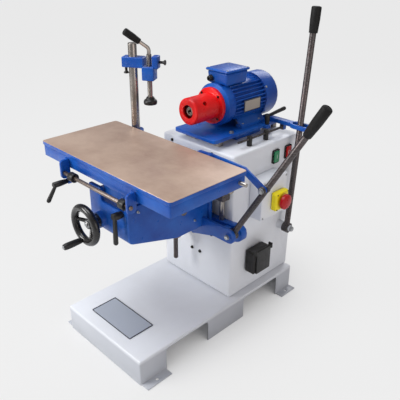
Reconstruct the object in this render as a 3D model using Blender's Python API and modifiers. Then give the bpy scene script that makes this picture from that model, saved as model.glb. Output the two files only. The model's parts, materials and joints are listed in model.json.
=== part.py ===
"""A slot mortiser on a floor plinth: a drill chuck on a motor slide, and a lifting cross-travel table.

Metres, +Z up. The origin is on the floor, under the middle of the plinth's front sheet: +X is
the machine's right side, +Y its back.
"""

import math

import bmesh
import bpy
from mathutils import Matrix, Vector

# Fits and helpers shared by all pieces
SEAT = 0.0003
RUNNING = 0.0003
OVERRUN = 0.004
SINK = 0.001
WELD = 0.00001
ROUND_SIDES = 16
SMALL_SIDES = 10
TURN_STEPS = 28
BEND_STEPS = 3
SHARP_ANGLE = math.radians(35)
FLAT_ANGLE = math.radians(0.1)

# Plinth: one folded sheet on four legs with foot flanges
BASE_WIDTH = 0.390
BASE_LENGTH = 0.765
BASE_HEIGHT = 0.095
BASE_SHEET = 0.004
BASE_BEND = 0.006
LEG_GAP_SHARES = ((0.1412, 0.3908), (0.6314, 0.8824))
GAP_LIP = 0.012
GAP_CORNER = 0.012
FOOT_FLANGE = 0.030
FOOT_SETBACK = 0.004
FOOT_HOLE_RADIUS = 0.006

# Column: a sheet cabinet, closed at the back by a cover
COLUMN_WIDTH = 0.340
COLUMN_FRONT = 0.427
COLUMN_DEPTH = 0.331
COLUMN_TOP = 0.640
COLUMN_SHEET = 0.003
COLUMN_BEND = 0.012
COVER_SHEET = 0.0025
COVER_MARGIN = 0.003

# Knee: a hollow casting, open below, which rides on two vertical bars
KNEE_HALF_WIDTH = 0.095
KNEE_FRONT = 0.060
KNEE_BACK = 0.386
KNEE_TOP = 0.560
KNEE_NOSE_BOTTOM = 0.442
KNEE_BOTTOM = 0.388
KNEE_SLOPE_END = 0.250
KNEE_WALL = 0.009
KNEE_CORNER = 0.020
KNEE_EDGE = 0.004
KNEE_LIP_TOP = 0.585
KNEE_LIP_DEPTH = 0.013
KNEE_LIP_END = -0.035
KNEE_NOTCH_FLOOR = 0.541
KNEE_NOTCH_END = 0.080
KNEE_NOTCH_CORNER = 0.010
KNEE_PLATE = 0.012
KNEE_PLATE_HALF = 0.108
KNEE_WEB_Y = 0.303
KNEE_WEB = 0.010
KNEE_WEB_BOTTOM = 0.424
KNEE_SHELF_TOP = 0.437
KNEE_SHELF = 0.010
KNEE_SHELF_HALF = 0.034
YOKE_DEPTH = 0.025
YOKE_HEIGHT = 0.026
YOKE_TOP = 0.590
YOKE_HALF_WIDTH = 0.158
YOKE_EDGE = 0.003

# Vertical ways: bars that the knee carries, and the bearing and nut on the column
WAY_BAR_RADIUS = 0.009
WAY_BAR_X = 0.138
WAY_BEARING_LOW = 0.487
WAY_BEARING_HIGH = 0.532
WAY_BEARING_DEPTH = 0.034
NUT_LOW = 0.296
NUT_HIGH = 0.328
NUT_RADIUS = 0.020
NUT_ARM_HALF = 0.018

# Lever arm: the lower yoke of the bars, run out to the right to carry the table lever
ARM_TOP = 0.414
ARM_BOTTOM = 0.364
ARM_SHOULDER_X = 0.150
ARM_PIVOT_X = 0.2145
ARM_PIVOT_Z = 0.3991
ARM_EYE_RADIUS = 0.0245
ARM_BOSS_RADIUS = 0.014
ARM_CHEEK = 0.009
ARM_STRUT = 0.024
CHEEK_TOE_X = 0.046
CHEEK_TOE_Z = 0.345
CHEEK_HEEL_X = 0.150
BOLT_HEAD_RADIUS = 0.012
BOLT_HEAD = 0.007

# Elevating screw with its bevel gear
SCREW_X = -0.037
SCREW_Y = 0.362
SCREW_RADIUS = 0.008
SCREW_BOTTOM = 0.204
SCREW_CHAMFER = 0.002
SCREW_COLLAR_RADIUS = 0.014
SCREW_COLLAR = 0.010
GEAR_RADIUS = 0.020
GEAR_INNER = 0.011
GEAR_GAP = 0.0005
GEAR_HUB_RADIUS = 0.014
PINION_HUB = 0.010

# Handwheel on the knee's front, its shaft and its crank grip
WHEEL_Z = 0.481
WHEEL_RADIUS = 0.067
WHEEL_RIM_RADIUS = 0.012
WHEEL_RIM_SIDES = 8
WHEEL_DISH = 0.020
WHEEL_HUB_RADIUS = 0.016
WHEEL_HUB_FRONT = 0.006
DIAL_RADIUS = 0.021
DIAL_START = 0.030
SPOKE_RADIUS = 0.0065
SPOKE_TIP_RADIUS = 0.005
SPOKE_COUNT = 3
SPOKE_FIRST = math.radians(55)
SHAFT_RADIUS = 0.008
SHAFT_FRONT = 0.002
BOSS_RADIUS = 0.026
BOSS_LENGTH = 0.016
CRANK_ANGLE = math.radians(-104)
PIN_RADIUS = 0.004
PIN_HEAD_RADIUS = 0.006
PIN_HEAD = 0.003
GRIP_GAP = 0.0125
GRIP_LENGTH = 0.060
GRIP_RADIUS = 0.0105
GRIP_NECK_RADIUS = 0.009

# Table: a ground plate on a cast frame with two guide rods
TABLE_LENGTH = 0.600
TABLE_LEFT = -0.277
TABLE_FRONT = 0.020
TABLE_DEPTH = 0.288
TABLE_TOP = 0.680
TABLE_PLATE = 0.012
TABLE_CORNER = 0.010
TABLE_EDGE = 0.001
RIM_INSET = 0.003
RIM_BOTTOM = 0.633
RIM_WALL = 0.010
RIM_WINDOWS = 4
RIM_WINDOW_CORNER = 0.012
GUIDE_RADIUS = 0.010
GUIDE_Z = 0.616
GUIDE_FRONT_INSET = 0.075
GUIDE_REAR_INSET = 0.030
GUIDE_LUG = 0.016
GUIDE_LUG_INSET = 0.052
SIDE_PIN_RADIUS = 0.006
SIDE_PIN_Z = 0.651
SIDE_PIN_OUT = 0.026
GUIDE_LUG_HALF = 0.017
BEARING_LEFT = -0.042
BEARING_RIGHT = 0.090
BEARING_HALF = 0.019
BEARING_TOP = 0.631
BEARING_EDGE = 0.003

# Travel stop: a rod with two collars, held in two brackets on the table's front
STOP_ROD_Y = 0.002
STOP_ROD_Z = 0.622
STOP_ROD_RADIUS = 0.006
STOP_ROD_PROUD = 0.004
BRACKET_LEFT = -0.131
BRACKET_RIGHT = 0.184
BRACKET_SHEET = 0.007
BRACKET_FRONT = -0.008
BRACKET_TOP = 0.662
BRACKET_BOTTOM = 0.6035
BRACKET_CORNER = 0.010
BRACKET_FLANGE = 0.006
BRACKET_FLANGE_OUT = 0.014
BRACKET_FLANGE_LOW = 0.637
COLLAR_RADIUS = 0.014
COLLAR_LENGTH = 0.022
COLLAR_LEFT = -0.082
COLLAR_RIGHT = 0.158

# Ratchet levers that lock the stop rod, the table's travel and the motor slide
STOP_LOCK_Z = 0.592
STOP_LOCK_FOOT = 0.012
STOP_LOCK_BOSS = 0.010
STOP_LOCK_HUB_LENGTH = 0.050
LOCK_HUB_RADIUS = 0.009
LOCK_HUB_LENGTH = 0.036
LOCK_CHAMFER = 0.002
LOCK_HANDLE_RADIUS = 0.005
LOCK_TIP_RADIUS = 0.007
LOCK_ROOT_SHARE = 0.8
STOP_LOCK_DROP = 0.049
STOP_LOCK_SPLAY = 0.034
TRAVEL_LOCK_X = 0.067
TRAVEL_LOCK_Z = 0.536
TRAVEL_LOCK_HUB_RADIUS = 0.012
TRAVEL_LOCK_HUB_LENGTH = 0.032
TRAVEL_LOCK_HANDLE_RADIUS = 0.0065
TRAVEL_LOCK_TIP_RADIUS = 0.008
TRAVEL_LOCK_DROP = 0.093
TRAVEL_LOCK_SPLAY = 0.002
SLIDE_LOCK_X = 0.102
LOCK_EAR_X = 0.115
LOCK_EAR_HALF = 0.013
SLIDE_LOCK_Y = 0.668
SLIDE_LOCK_AZIMUTH = math.radians(60)
SLIDE_LOCK_REACH = 0.066
SLIDE_LOCK_RISE = 0.026

# Table lever, and the strap that joins it to the table
LEVER_Y = 0.380
LEVER_TOP_X = 0.506
LEVER_TOP_Z = 0.882
LEVER_RADIUS = 0.0095
LEVER_EYE_RADIUS = 0.018
LEVER_EYE_HALF = 0.010
LEVER_BOLT_DISTANCE = 0.24155
LEVER_BOLT_RADIUS = 0.007
LEVER_GRIP_RADIUS = 0.0150
LEVER_GRIP_NECK = 0.0125
LEVER_GRIP_LENGTH = 0.100
GRIP_CAP = 0.004
GRIP_ROUND = 0.005
STRAP_Y = 0.364
STRAP_THICK = 0.008
STRAP_HALF_HEIGHT = 0.010
STRAP_BEND_X = 0.265
STRAP_BEND_Z = 0.645
STRAP_END_X = 0.118
STRAP_END_Z = 0.648
STRAP_PIN_RADIUS = 0.005
SLOT_GAP = 0.006
SLOT_PLATE = 0.010
SLOT_PLATE_HALF = 0.026
SLOT_PLATE_LOW = 0.620
SLOT_PLATE_HIGH = 0.664
SLOT_CHEEK = 0.008
SLOT_HALF_LENGTH = 0.0085
SLOT_RISE = 0.0075
SLOT_DROP = 0.012
SLOT_CORNER = 0.004

# Hold-down clamp on a post behind the table
POST_RADIUS = 0.014
POST_X = -0.190
POST_STANDOFF = 0.018
POST_FOOT = 0.636
POST_TOP = 0.952
POST_LUG_HALF = 0.026
POST_LUG_LOW = 0.640
POST_LUG_HIGH = 0.6667
ARM_AZIMUTH = math.radians(31)
CLAMP_ARM_LOW = 0.877
CLAMP_ARM_HIGH = 0.910
CLAMP_ARM_BACK = 0.032
CLAMP_ARM_FRONT = 0.040
CLAMP_ARM_HALF = 0.019
CLAMP_REACH = 0.055
GUIDE_BLOCK_HALF = 0.020
GUIDE_BLOCK_LOW = 0.838
GUIDE_BLOCK_HIGH = 0.882
CLAMP_NOSE_START = 0.068
CLAMP_NOSE_END = 0.088
CLAMP_NOSE_LOW = 0.876
CLAMP_NOSE_HIGH = 0.916
CLAMP_NOSE_HALF = 0.015
CLAMP_EDGE = 0.002
KNOB_STEM_RADIUS = 0.0045
KNOB_FLARE_RADIUS = 0.0085
KNOB_STEM = 0.014
KNOB_LENGTH = 0.022
KNOB_RIM = 0.003
ARM_KNOB_BACK = 0.024
SPINDLE_RADIUS = 0.008
PAD_RADIUS = 0.0225
PAD_BOTTOM = 0.758
PAD_TOP = 0.782
PAD_RIM = 0.007
PAD_NECK_RADIUS = 0.012
PAD_SOCKET = 0.012
CRANK_RADIUS = 0.006
CRANK_AZIMUTH = math.radians(243)
CRANK_BEND_Z = 0.938
CRANK_BEND_RADIUS = 0.016
CRANK_REACH = 0.076
CRANK_RISE = 0.056
CRANK_SLEEVE_START_SHARE = 0.38
CRANK_SLEEVE_RADIUS = 0.0115
CRANK_SLEEVE_NECK = 0.0095

# Motor slide: rails on the column's top and the plate that runs on them
SLIDE_X = 0.055
SLIDE_RADIUS = 0.008
SLIDE_RISE = 0.012
SLIDE_FRONT = 0.453
SLIDE_REAR = 0.755
SLIDE_FOOT_HALF = 0.024
SLIDE_FOOT_LENGTH = 0.020
SLIDE_FOOT_HEIGHT = 0.022
SLIDE_FOOT_EDGE = 0.0015
BUSH_FRONT = 0.540
BUSH_REAR = 0.670
BUSH_HALF = 0.019
BUSH_CLEAR = 0.002
PLATE_HALF_WIDTH = 0.095
PLATE_FRONT = 0.415
PLATE_REAR = 0.735
PLATE_THICK = 0.012
PLATE_CLEAR = 0.001
PLATE_CORNER = 0.010

# Motor: finned frame on feet, end shields, terminal box and fan cowl
SHAFT_HEIGHT = 0.080
SHIELD_FRONT = 0.500
SHIELD_END = 0.540
SHIELD_RADIUS = 0.071
SHIELD_FACE_RADIUS = 0.060
SHIELD_ROUND = 0.008
SHIELD_WALL = 0.012
FRAME_RADIUS = 0.064
FRAME_END = 0.690
STATOR_BORE = 0.040
FIN_RADIUS = 0.0745
FIN_THICK = 0.0028
FIN_SLOTS = 36
FIN_FREE_TOP = math.radians(30)
FIN_FREE_FOOT = math.radians(50)
REAR_SHIELD = 0.014
FOOT_X = 0.0625
FOOT_HALF = 0.0125
FOOT_THICK = 0.010
FOOT_WEB_HALF = 0.005
FOOT_WEB_X = 0.042
FOOT_WEB_DROP = 0.0406
FOOT_START = 0.566
PEDESTAL_HALF = 0.036
PEDESTAL_START = 0.530
PEDESTAL_END = 0.612
BOX_HALF = 0.045
BOX_START = 0.519
BOX_END = 0.623
BOX_LOW = 0.820
BOX_HIGH = 0.861
BOX_DRAFT_SHARE = 0.93
BOX_EDGE = 0.004
LID_OVERHANG = 0.005
LID_THICK = 0.009
COWL_RADIUS = 0.079
COWL_SHEET = 0.0015
COWL_START = 0.688
COWL_END = 0.756
COWL_ROUND = 0.012
GRILLE_SLOTS = 12
GRILLE_INNER = 0.020
GRILLE_OUTER = 0.058
GRILLE_SLOT = 0.006

# Rotor, chuck, chuck guard and fan
ROTOR_RADIUS = 0.0385
ROTOR_START = 0.556
ROTOR_END = 0.676
MOTOR_SHAFT_RADIUS = 0.0095
MOTOR_SHAFT_FRONT = 0.442
MOTOR_SHAFT_END = 0.741
FAN_START = 0.708
FAN_LENGTH = 0.026
FAN_DISC = 0.003
FAN_DISC_RADIUS = 0.040
FAN_HUB_RADIUS = 0.017
FAN_RADIUS = 0.066
FAN_BLADE = 0.003
FAN_BLADES = 7
CHUCK_FRONT = 0.395
CHUCK_NOSE_RADIUS = 0.014
CHUCK_NOSE = 0.016
CHUCK_RADIUS = 0.024
CHUCK_BACK = 0.470
CHUCK_BACK_RADIUS = 0.019
CHUCK_BORE = 0.0085
CHUCK_SOCKET = 0.046
JAW_COUNT = 3
JAW_WIDTH = 0.005
JAW_INNER = 0.0045
JAW_PROUD = 0.003
JAW_LENGTH = 0.022
GUARD_FRONT = 0.387
GUARD_RADIUS = 0.044
GUARD_BORE = 0.033
GUARD_MOUTH = 0.022
GUARD_MOUTH_DEPTH = 0.006
GUARD_CHAMFER = 0.004
GUARD_FLANGE = 0.012
KEY_HOLE_RADIUS = 0.007
KEY_HOLE_Y = 0.430
KEY_HOLE_ANGLE = math.radians(38)

# Motor lever on the column's right side, the bar that it pushes and the depth stop
MOTOR_LEVER_X = 0.207
MOTOR_LEVER_Y = 0.690
MOTOR_LEVER_Z = 0.302
MOTOR_LEVER_TILT = math.radians(3.8)
MOTOR_LEVER_TOP = 1.065
MOTOR_LEVER_RADIUS = 0.0105
MOTOR_LEVER_EYE = 0.019
MOTOR_LEVER_EYE_HALF = 0.0112
MOTOR_GRIP_RADIUS = 0.0150
MOTOR_GRIP_NECK = 0.0130
MOTOR_GRIP_LENGTH = 0.080
PIVOT_BOSS_RADIUS = 0.016
BAR_START = 0.052
BAR_HALF = 0.012
BAR_HEIGHT = 0.014
LOOP_X = 0.212
LOOP_HALF_LENGTH = 0.043
LOOP_HALF_WIDTH = 0.022
LOOP_WALL = 0.008
DEPTH_ROD_X = 0.136
DEPTH_ROD_Z = 0.664
DEPTH_ROD_RADIUS = 0.004
DEPTH_ROD_FRONT = 0.480
DEPTH_LUG_HALF = 0.008
STOP_POST_RADIUS = 0.009
STOP_POST_TOP = 0.6735
STOP_POST_FRONT = 0.537
STOP_POST_REAR = 0.622

# Controls on the column's right side
BOX_OUT = 0.056
BOX_FRONT_Y = 0.508
BOX_BACK_Y = 0.640
BOX_FOOT_Z = 0.400
BOX_HEAD_Z = 0.545
BOX_ROUND = 0.003
STOP_BOX_Y = 0.588
STOP_BOX_Z = 0.462
STOP_BOX_HALF = 0.033
STOP_BOX_OUT = 0.024
STOP_BOX_ROUND = 0.004
MUSHROOM_RADIUS = 0.027
MUSHROOM_STEM = 0.010
MUSHROOM_GAP = 0.008
MUSHROOM_RIM = 0.005
MUSHROOM_HEIGHT = 0.015
MUSHROOM_DEPTH = 0.012
BUTTON_Z = 0.586
GREEN_Y = 0.636
RED_Y = 0.704
BUTTON_HALF_WIDTH = 0.013
BUTTON_CORNER = 0.004
BUTTON_HALF_HEIGHT = 0.020
BUTTON_GAP = 0.004
BUTTON_OUT = 0.006
BUTTON_STEM = 0.008
BUTTON_STEM_LENGTH = 0.014
INLET_FRONT_Y = 0.502
INLET_BACK_Y = 0.594
INLET_LOW = 0.180
INLET_HIGH = 0.270
INLET_OUT = 0.044
INLET_ROUND = 0.006
INLET_BORE = 0.026
INLET_DEPTH = 0.024
FLAP_THICK = 0.006
FLAP_MARGIN = 0.005
FLAP_BARREL = 0.004
FLAP_LUG = 0.008
FLAP_LUG_HEIGHT = 0.011

SIDES = (-1, 1)
SIDE_NAMES = ("left", "right")
X_AXIS = Vector((1, 0, 0))
Y_AXIS = Vector((0, 1, 0))
Z_AXIS = Vector((0, 0, 1))

# Places that follow from the sizes
BASE_FRONT = -BASE_SHEET / 2
COLUMN_BACK = COLUMN_FRONT + COLUMN_DEPTH
COLUMN_SIDE = COLUMN_WIDTH / 2
COLUMN_FOOT = BASE_HEIGHT + SEAT
KNEE_PLATE_BACK = KNEE_BACK + KNEE_PLATE
YOKE_FRONT = KNEE_PLATE_BACK + SEAT
YOKE_BACK = YOKE_FRONT + YOKE_DEPTH
WAY_BAR_Y = YOKE_FRONT + YOKE_DEPTH / 2
TABLE_RIGHT = TABLE_LEFT + TABLE_LENGTH
RIM_LEFT = TABLE_LEFT + RIM_INSET
RIM_RIGHT = TABLE_RIGHT - RIM_INSET
RIM_FRONT = TABLE_FRONT + RIM_INSET
GUIDE_FRONT_Y = TABLE_FRONT + GUIDE_FRONT_INSET
RIM_BACK = TABLE_FRONT + TABLE_DEPTH - RIM_INSET
GUIDE_REAR_Y = TABLE_FRONT + TABLE_DEPTH - GUIDE_REAR_INSET
RIM_TOP = TABLE_TOP - TABLE_PLATE - SEAT
POST_Y = TABLE_FRONT + TABLE_DEPTH + POST_STANDOFF
WHEEL_CENTRE = Vector((SCREW_X, 0, WHEEL_Z))
BOSS_FRONT = KNEE_FRONT - BOSS_LENGTH
CRANK_PIN = WHEEL_CENTRE + (WHEEL_RADIUS - WHEEL_RIM_RADIUS) * Vector(
    (math.cos(CRANK_ANGLE), 0, math.sin(CRANK_ANGLE))
)
PIVOT = Vector((ARM_PIVOT_X, LEVER_Y, ARM_PIVOT_Z))
LEVER_TOP = Vector((LEVER_TOP_X, LEVER_Y, LEVER_TOP_Z))
LEVER_BOLT = PIVOT + (LEVER_TOP - PIVOT).normalized() * LEVER_BOLT_DISTANCE
PLATE_BOTTOM = COLUMN_TOP + SEAT + SLIDE_FOOT_HEIGHT + PLATE_CLEAR
PLATE_TOP = PLATE_BOTTOM + PLATE_THICK
RAIL_Z = COLUMN_TOP + SEAT + SLIDE_RISE
MOTOR_Z = PLATE_TOP + SEAT + SHAFT_HEIGHT
MOTOR_AXIS = Vector((0, 0, MOTOR_Z))
MOTOR_PIVOT = Vector((MOTOR_LEVER_X, MOTOR_LEVER_Y, MOTOR_LEVER_Z))
MOTOR_LEVER_WAY = Vector((0, math.sin(MOTOR_LEVER_TILT), math.cos(MOTOR_LEVER_TILT)))
MOTOR_TOP = MOTOR_PIVOT + MOTOR_LEVER_WAY * (MOTOR_LEVER_TOP - MOTOR_LEVER_Z) / MOTOR_LEVER_WAY.z
BAR_Z = PLATE_TOP + SEAT + BAR_HEIGHT / 2
BAR_Y = MOTOR_LEVER_Y + (BAR_Z - MOTOR_LEVER_Z) * math.tan(MOTOR_LEVER_TILT)
BOX_FACE = COLUMN_SIDE + SEAT + BOX_OUT
STOP_BOX_FACE = BOX_FACE + SEAT + STOP_BOX_OUT
INLET_FACE = COLUMN_SIDE + SEAT + INLET_OUT
FLAP_HINGE = Vector((INLET_FACE + SEAT + FLAP_THICK / 2, 0, INLET_HIGH + SEAT + FLAP_BARREL))
CLAMP_PLACE = Matrix.Translation((POST_X, POST_Y, 0)) @ Matrix.Rotation(ARM_AZIMUTH, 4, "Z")
SPINDLE = CLAMP_PLACE @ Vector((CLAMP_REACH, 0, 0))


def clear_scene():
    """Removes every object of the scene, and makes the two collections."""
    for obj in list(bpy.data.objects):
        bpy.data.objects.remove(obj, do_unlink=True)
    groups = []
    for name in ("slot_mortiser", "cutters"):
        group = bpy.data.collections.new(name)
        bpy.context.scene.collection.children.link(group)
        groups.append(group)
    return groups


PARTS, CUTTERS = clear_scene()


def finish(name, color, roughness, metallic=0):
    """A Principled material of one colour."""
    made = bpy.data.materials.new(name)
    made.use_nodes = True
    made.diffuse_color = (*color, 1)
    shader = made.node_tree.nodes["Principled BSDF"]
    shader.inputs["Base Color"].default_value = (*color, 1)
    shader.inputs["Roughness"].default_value = roughness
    shader.inputs["Metallic"].default_value = metallic
    return made


BLUE = finish("blue_paint", (0.030, 0.110, 0.480), 0.4)
WHITE = finish("white_paint", (0.72, 0.74, 0.78), 0.45)
GROUND = finish("ground_steel", (0.45, 0.40, 0.34), 0.25, 1)
STEEL = finish("bright_steel", (0.50, 0.49, 0.47), 0.3, 1)
DARK_STEEL = finish("dark_steel", (0.10, 0.09, 0.085), 0.4, 1)
BLACK = finish("black_plastic", (0.015, 0.015, 0.015), 0.45)
RED = finish("red_paint", (0.72, 0.02, 0.02), 0.4)
GREEN = finish("green_plastic", (0.01, 0.22, 0.10), 0.4)
YELLOW = finish("yellow_plastic", (0.85, 0.72, 0.02), 0.45)
RUBBER = finish("black_rubber", (0.02, 0.02, 0.02), 0.7)
BRONZE = finish("bronze", (0.45, 0.30, 0.12), 0.35, 1)


def placed(name, data, look):
    obj = bpy.data.objects.new(name, data)
    PARTS.objects.link(obj)
    obj.data.materials.append(look)
    return obj


def solid(name, bm, look):
    mesh = bpy.data.meshes.new(name)
    bm.to_mesh(mesh)
    bm.free()
    return placed(name, mesh, look)


def smooth(obj):
    obj.data.shade_smooth()
    obj.data.set_sharp_from_angle(angle=SHARP_ANGLE)


def bevel(obj, width, segments=1):
    """Rounds the sharp edges of an object."""
    rounding = obj.modifiers.new("rounded_edges", "BEVEL")
    rounding.width = width
    rounding.segments = segments
    rounding.limit_method = "ANGLE"
    rounding.angle_limit = SHARP_ANGLE
    return obj


def block(name, low, high, look, edge=0, segments=1):
    """A box between two corners, with its edges rounded by edge."""
    low = Vector(low)
    high = Vector(high)
    bm = bmesh.new()
    bmesh.ops.create_cube(bm, size=1, matrix=Matrix.Diagonal((*(high - low), 1)))
    obj = solid(name, bm, look)
    obj.location = (low + high) / 2
    if edge:
        bevel(obj, edge, segments)
    return obj


def open_box(name, low, high, look, missing, bend, sheet):
    """A folded sheet box without the side that faces along missing."""
    low = Vector(low)
    high = Vector(high)
    bm = bmesh.new()
    bmesh.ops.create_cube(bm, size=1, matrix=Matrix.Diagonal((*(high - low), 1)))
    bm.normal_update()
    gone = [face for face in bm.faces if face.normal.dot(missing) > 0]
    bmesh.ops.delete(bm, geom=gone, context="FACES")
    obj = solid(name, bm, look)
    obj.location = (low + high) / 2
    bevel(obj, bend, 2)
    wall = obj.modifiers.new("sheet", "SOLIDIFY")
    wall.thickness = sheet
    wall.offset = -1
    wall.use_even_offset = True
    return obj


def along(axis):
    """The turn that takes +Z to an axis."""
    return Vector(axis).to_track_quat("Z", "Y").to_matrix().to_4x4()


def rod(name, start, end, radius, look, sides=ROUND_SIDES, end_radius=None):
    """A round bar, or a cone, between two points."""
    start = Vector(start)
    end = Vector(end)
    bm = bmesh.new()
    bmesh.ops.create_cone(
        bm,
        cap_ends=True,
        segments=sides,
        radius1=radius,
        radius2=radius if end_radius is None else end_radius,
        depth=(end - start).length,
    )
    obj = solid(name, bm, look)
    smooth(obj)
    obj.matrix_world = Matrix.Translation((start + end) / 2) @ along(end - start)
    return obj


def turned(name, profile, base, axis, look, steps=TURN_STEPS, ring=False):
    """A turned piece: (radius, height) pairs down its outer side, spun about an axis from a base point.

    A ring's profile closes on itself. Any other starts and ends on the axis.
    """
    bm = bmesh.new()
    corners = [bm.verts.new((radius, 0, height)) for radius, height in profile]
    for first, second in zip(corners, corners[1:]):
        bm.edges.new((first, second))
    if ring:
        bm.edges.new((corners[-1], corners[0]))
    obj = solid(name, bm, look)
    spin = obj.modifiers.new("turned", "SCREW")
    spin.axis = "Z"
    spin.angle = math.tau
    spin.steps = steps
    spin.render_steps = steps
    spin.use_merge_vertices = True
    spin.merge_threshold = WELD
    spin.use_smooth_shade = True
    obj.matrix_world = Matrix.Translation(Vector(base)) @ along(axis)
    return obj


def as_mesh(obj):
    """Makes a curve a welded mesh, so that it can be cut or joined."""
    bpy.context.view_layer.update()
    graph = bpy.context.evaluated_depsgraph_get()
    mesh = bpy.data.meshes.new_from_object(obj.evaluated_get(graph))
    bm = bmesh.new()
    bm.from_mesh(mesh)
    bmesh.ops.remove_doubles(bm, verts=bm.verts, dist=WELD)
    bmesh.ops.dissolve_limit(bm, angle_limit=FLAT_ANGLE, verts=bm.verts, edges=bm.edges)
    bmesh.ops.recalc_face_normals(bm, faces=bm.faces)
    bm.to_mesh(mesh)
    bm.free()
    name = obj.name
    place = obj.matrix_world.copy()
    bpy.data.objects.remove(obj, do_unlink=True)
    made = bpy.data.objects.new(name, mesh)
    PARTS.objects.link(made)
    made.matrix_world = place
    return made


# Planes for flat outlines: u and v of the outline lie along the two named axes
XY_PLANE = Matrix.Identity(4)
XZ_PLANE = Matrix.Rotation(math.pi / 2, 4, "X")
YZ_PLANE = Matrix(((0, 0, 1, 0), (1, 0, 0, 0), (0, 1, 0, 0), (0, 0, 0, 1)))


def flat(name, outline, thickness, look, plane, middle, holes=()):
    """A plate: a filled outline in a plane, with the middle of its thickness at a point."""
    curve = bpy.data.curves.new(name, "CURVE")
    curve.dimensions = "2D"
    curve.fill_mode = "BOTH"
    curve.extrude = thickness / 2
    for loop in (outline, *holes):
        spline = curve.splines.new("POLY")
        spline.points.add(len(loop) - 1)
        for point, (u, v) in zip(spline.points, loop):
            point.co = (u, v, 0, 1)
        spline.use_cyclic_u = True
    obj = placed(name, curve, look)
    obj.matrix_world = Matrix.Translation(Vector(middle)) @ plane
    return as_mesh(obj)


def arc(centre, radius, start, end, steps=BEND_STEPS):
    """Points of an arc, angles in radians."""
    points = []
    for step in range(steps + 1):
        angle = start + (end - start) * step / steps
        points.append((centre[0] + radius * math.cos(angle), centre[1] + radius * math.sin(angle)))
    return points


def rounded(corners, radii, steps=BEND_STEPS):
    """An outline whose corners are rounded, each by its own radius, which may be 0."""
    points = []
    count = len(corners)
    for index, radius in enumerate(radii):
        here = Vector(corners[index])
        if not radius:
            points.append(tuple(here))
            continue
        before = (Vector(corners[index - 1]) - here).normalized()
        after = (Vector(corners[(index + 1) % count]) - here).normalized()
        half = before.angle(after) / 2
        centre = here + (before + after).normalized() * radius / math.sin(half)
        start = here + before * radius / math.tan(half) - centre
        end = here + after * radius / math.tan(half) - centre
        turn = math.atan2(start.cross(end), start.dot(end))
        first = math.atan2(start.y, start.x)
        points += arc(centre, radius, first, first + turn, steps)
    return points


def rectangle(low, high, radius):
    """The outline of a rectangle with rounded corners."""
    corners = [(low[0], low[1]), (high[0], low[1]), (high[0], high[1]), (low[0], high[1])]
    return rounded(corners, [radius] * len(corners))


def strip(path, half, steps=2 * BEND_STEPS):
    """The outline of a bar of an even width along a path of points, with round ends."""
    path = [Vector(point) for point in path]
    ways = [(after - before).normalized() for before, after in zip(path, path[1:])]
    one_side = []
    other_side = []
    for before, here, after in zip(ways, path[1:], ways[1:]):
        middle = (before + after).normalized()
        offset = Vector((-middle.y, middle.x)) * half / middle.dot(after)
        one_side.append(tuple(here + offset))
        other_side.append(tuple(here - offset))
    last = math.atan2(ways[-1].y, ways[-1].x)
    first = math.atan2(ways[0].y, ways[0].x)
    end_cap = arc(path[-1], half, last + math.pi / 2, last - math.pi / 2, steps)
    start_cap = arc(path[0], half, first - math.pi / 2, first - 3 * math.pi / 2, steps)
    return one_side + end_cap + other_side[::-1] + start_cap


def bent(points, radius, steps=BEND_STEPS):
    """The path of a bent rod: each inner corner becomes an arc of the given radius."""
    path = [Vector(points[0])]
    for before, here, after in zip(points, points[1:], points[2:]):
        here = Vector(here)
        back = (Vector(before) - here).normalized()
        ahead = (Vector(after) - here).normalized()
        half = back.angle(ahead) / 2
        centre = here + (back + ahead).normalized() * radius / math.sin(half)
        start = here + back * radius / math.tan(half) - centre
        end = here + ahead * radius / math.tan(half) - centre
        for step in range(steps + 1):
            path.append(centre + start.slerp(end, step / steps).normalized() * radius)
    path.append(Vector(points[-1]))
    return path


def pipe(name, points, radius, look, resolution=2):
    """A round rod along a path, with flat ends."""
    curve = bpy.data.curves.new(name, "CURVE")
    curve.dimensions = "3D"
    curve.bevel_depth = radius
    curve.bevel_resolution = resolution
    curve.use_fill_caps = True
    spline = curve.splines.new("POLY")
    spline.points.add(len(points) - 1)
    for point, place in zip(spline.points, points):
        point.co = (*place, 1)
    obj = as_mesh(placed(name, curve, look))
    smooth(obj)
    return obj


def boolean(target, tool, operation):
    """Cuts or joins target with tool, which leaves the parts."""
    for group in list(tool.users_collection):
        group.objects.unlink(tool)
    CUTTERS.objects.link(tool)
    tool.hide_render = True
    tool.display_type = "WIRE"
    change = target.modifiers.new(operation.lower(), "BOOLEAN")
    change.operation = operation
    change.solver = "EXACT"
    change.object = tool


def cut(target, *tools):
    for tool in tools:
        boolean(target, tool, "DIFFERENCE")


def join(target, *tools):
    for tool in tools:
        boolean(target, tool, "UNION")


def bore(target, start, end, radius, sides=ROUND_SIDES):
    """Cuts a round hole that passes a named overrun beyond both points."""
    way = (Vector(end) - Vector(start)).normalized() * OVERRUN
    cut(target, rod("bore", Vector(start) - way, Vector(end) + way, radius, STEEL, sides))


def in_arm(obj):
    """Moves an object drawn beside the post's axis to the clamp arm's place."""
    obj.matrix_basis = CLAMP_PLACE @ obj.matrix_basis
    return obj


def spot(name, place):
    """An empty on a joint's axis, which carries the pieces that move together."""
    empty = bpy.data.objects.new(name, None)
    PARTS.objects.link(empty)
    empty.location = place
    return empty


def carry(parent, *pieces):
    """Parents pieces, or other empties, without moving them."""
    bpy.context.view_layer.update()
    for piece in pieces:
        place = piece.matrix_world.copy()
        piece.parent = parent
        piece.matrix_parent_inverse = parent.matrix_world.inverted()
        piece.matrix_world = place


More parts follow.
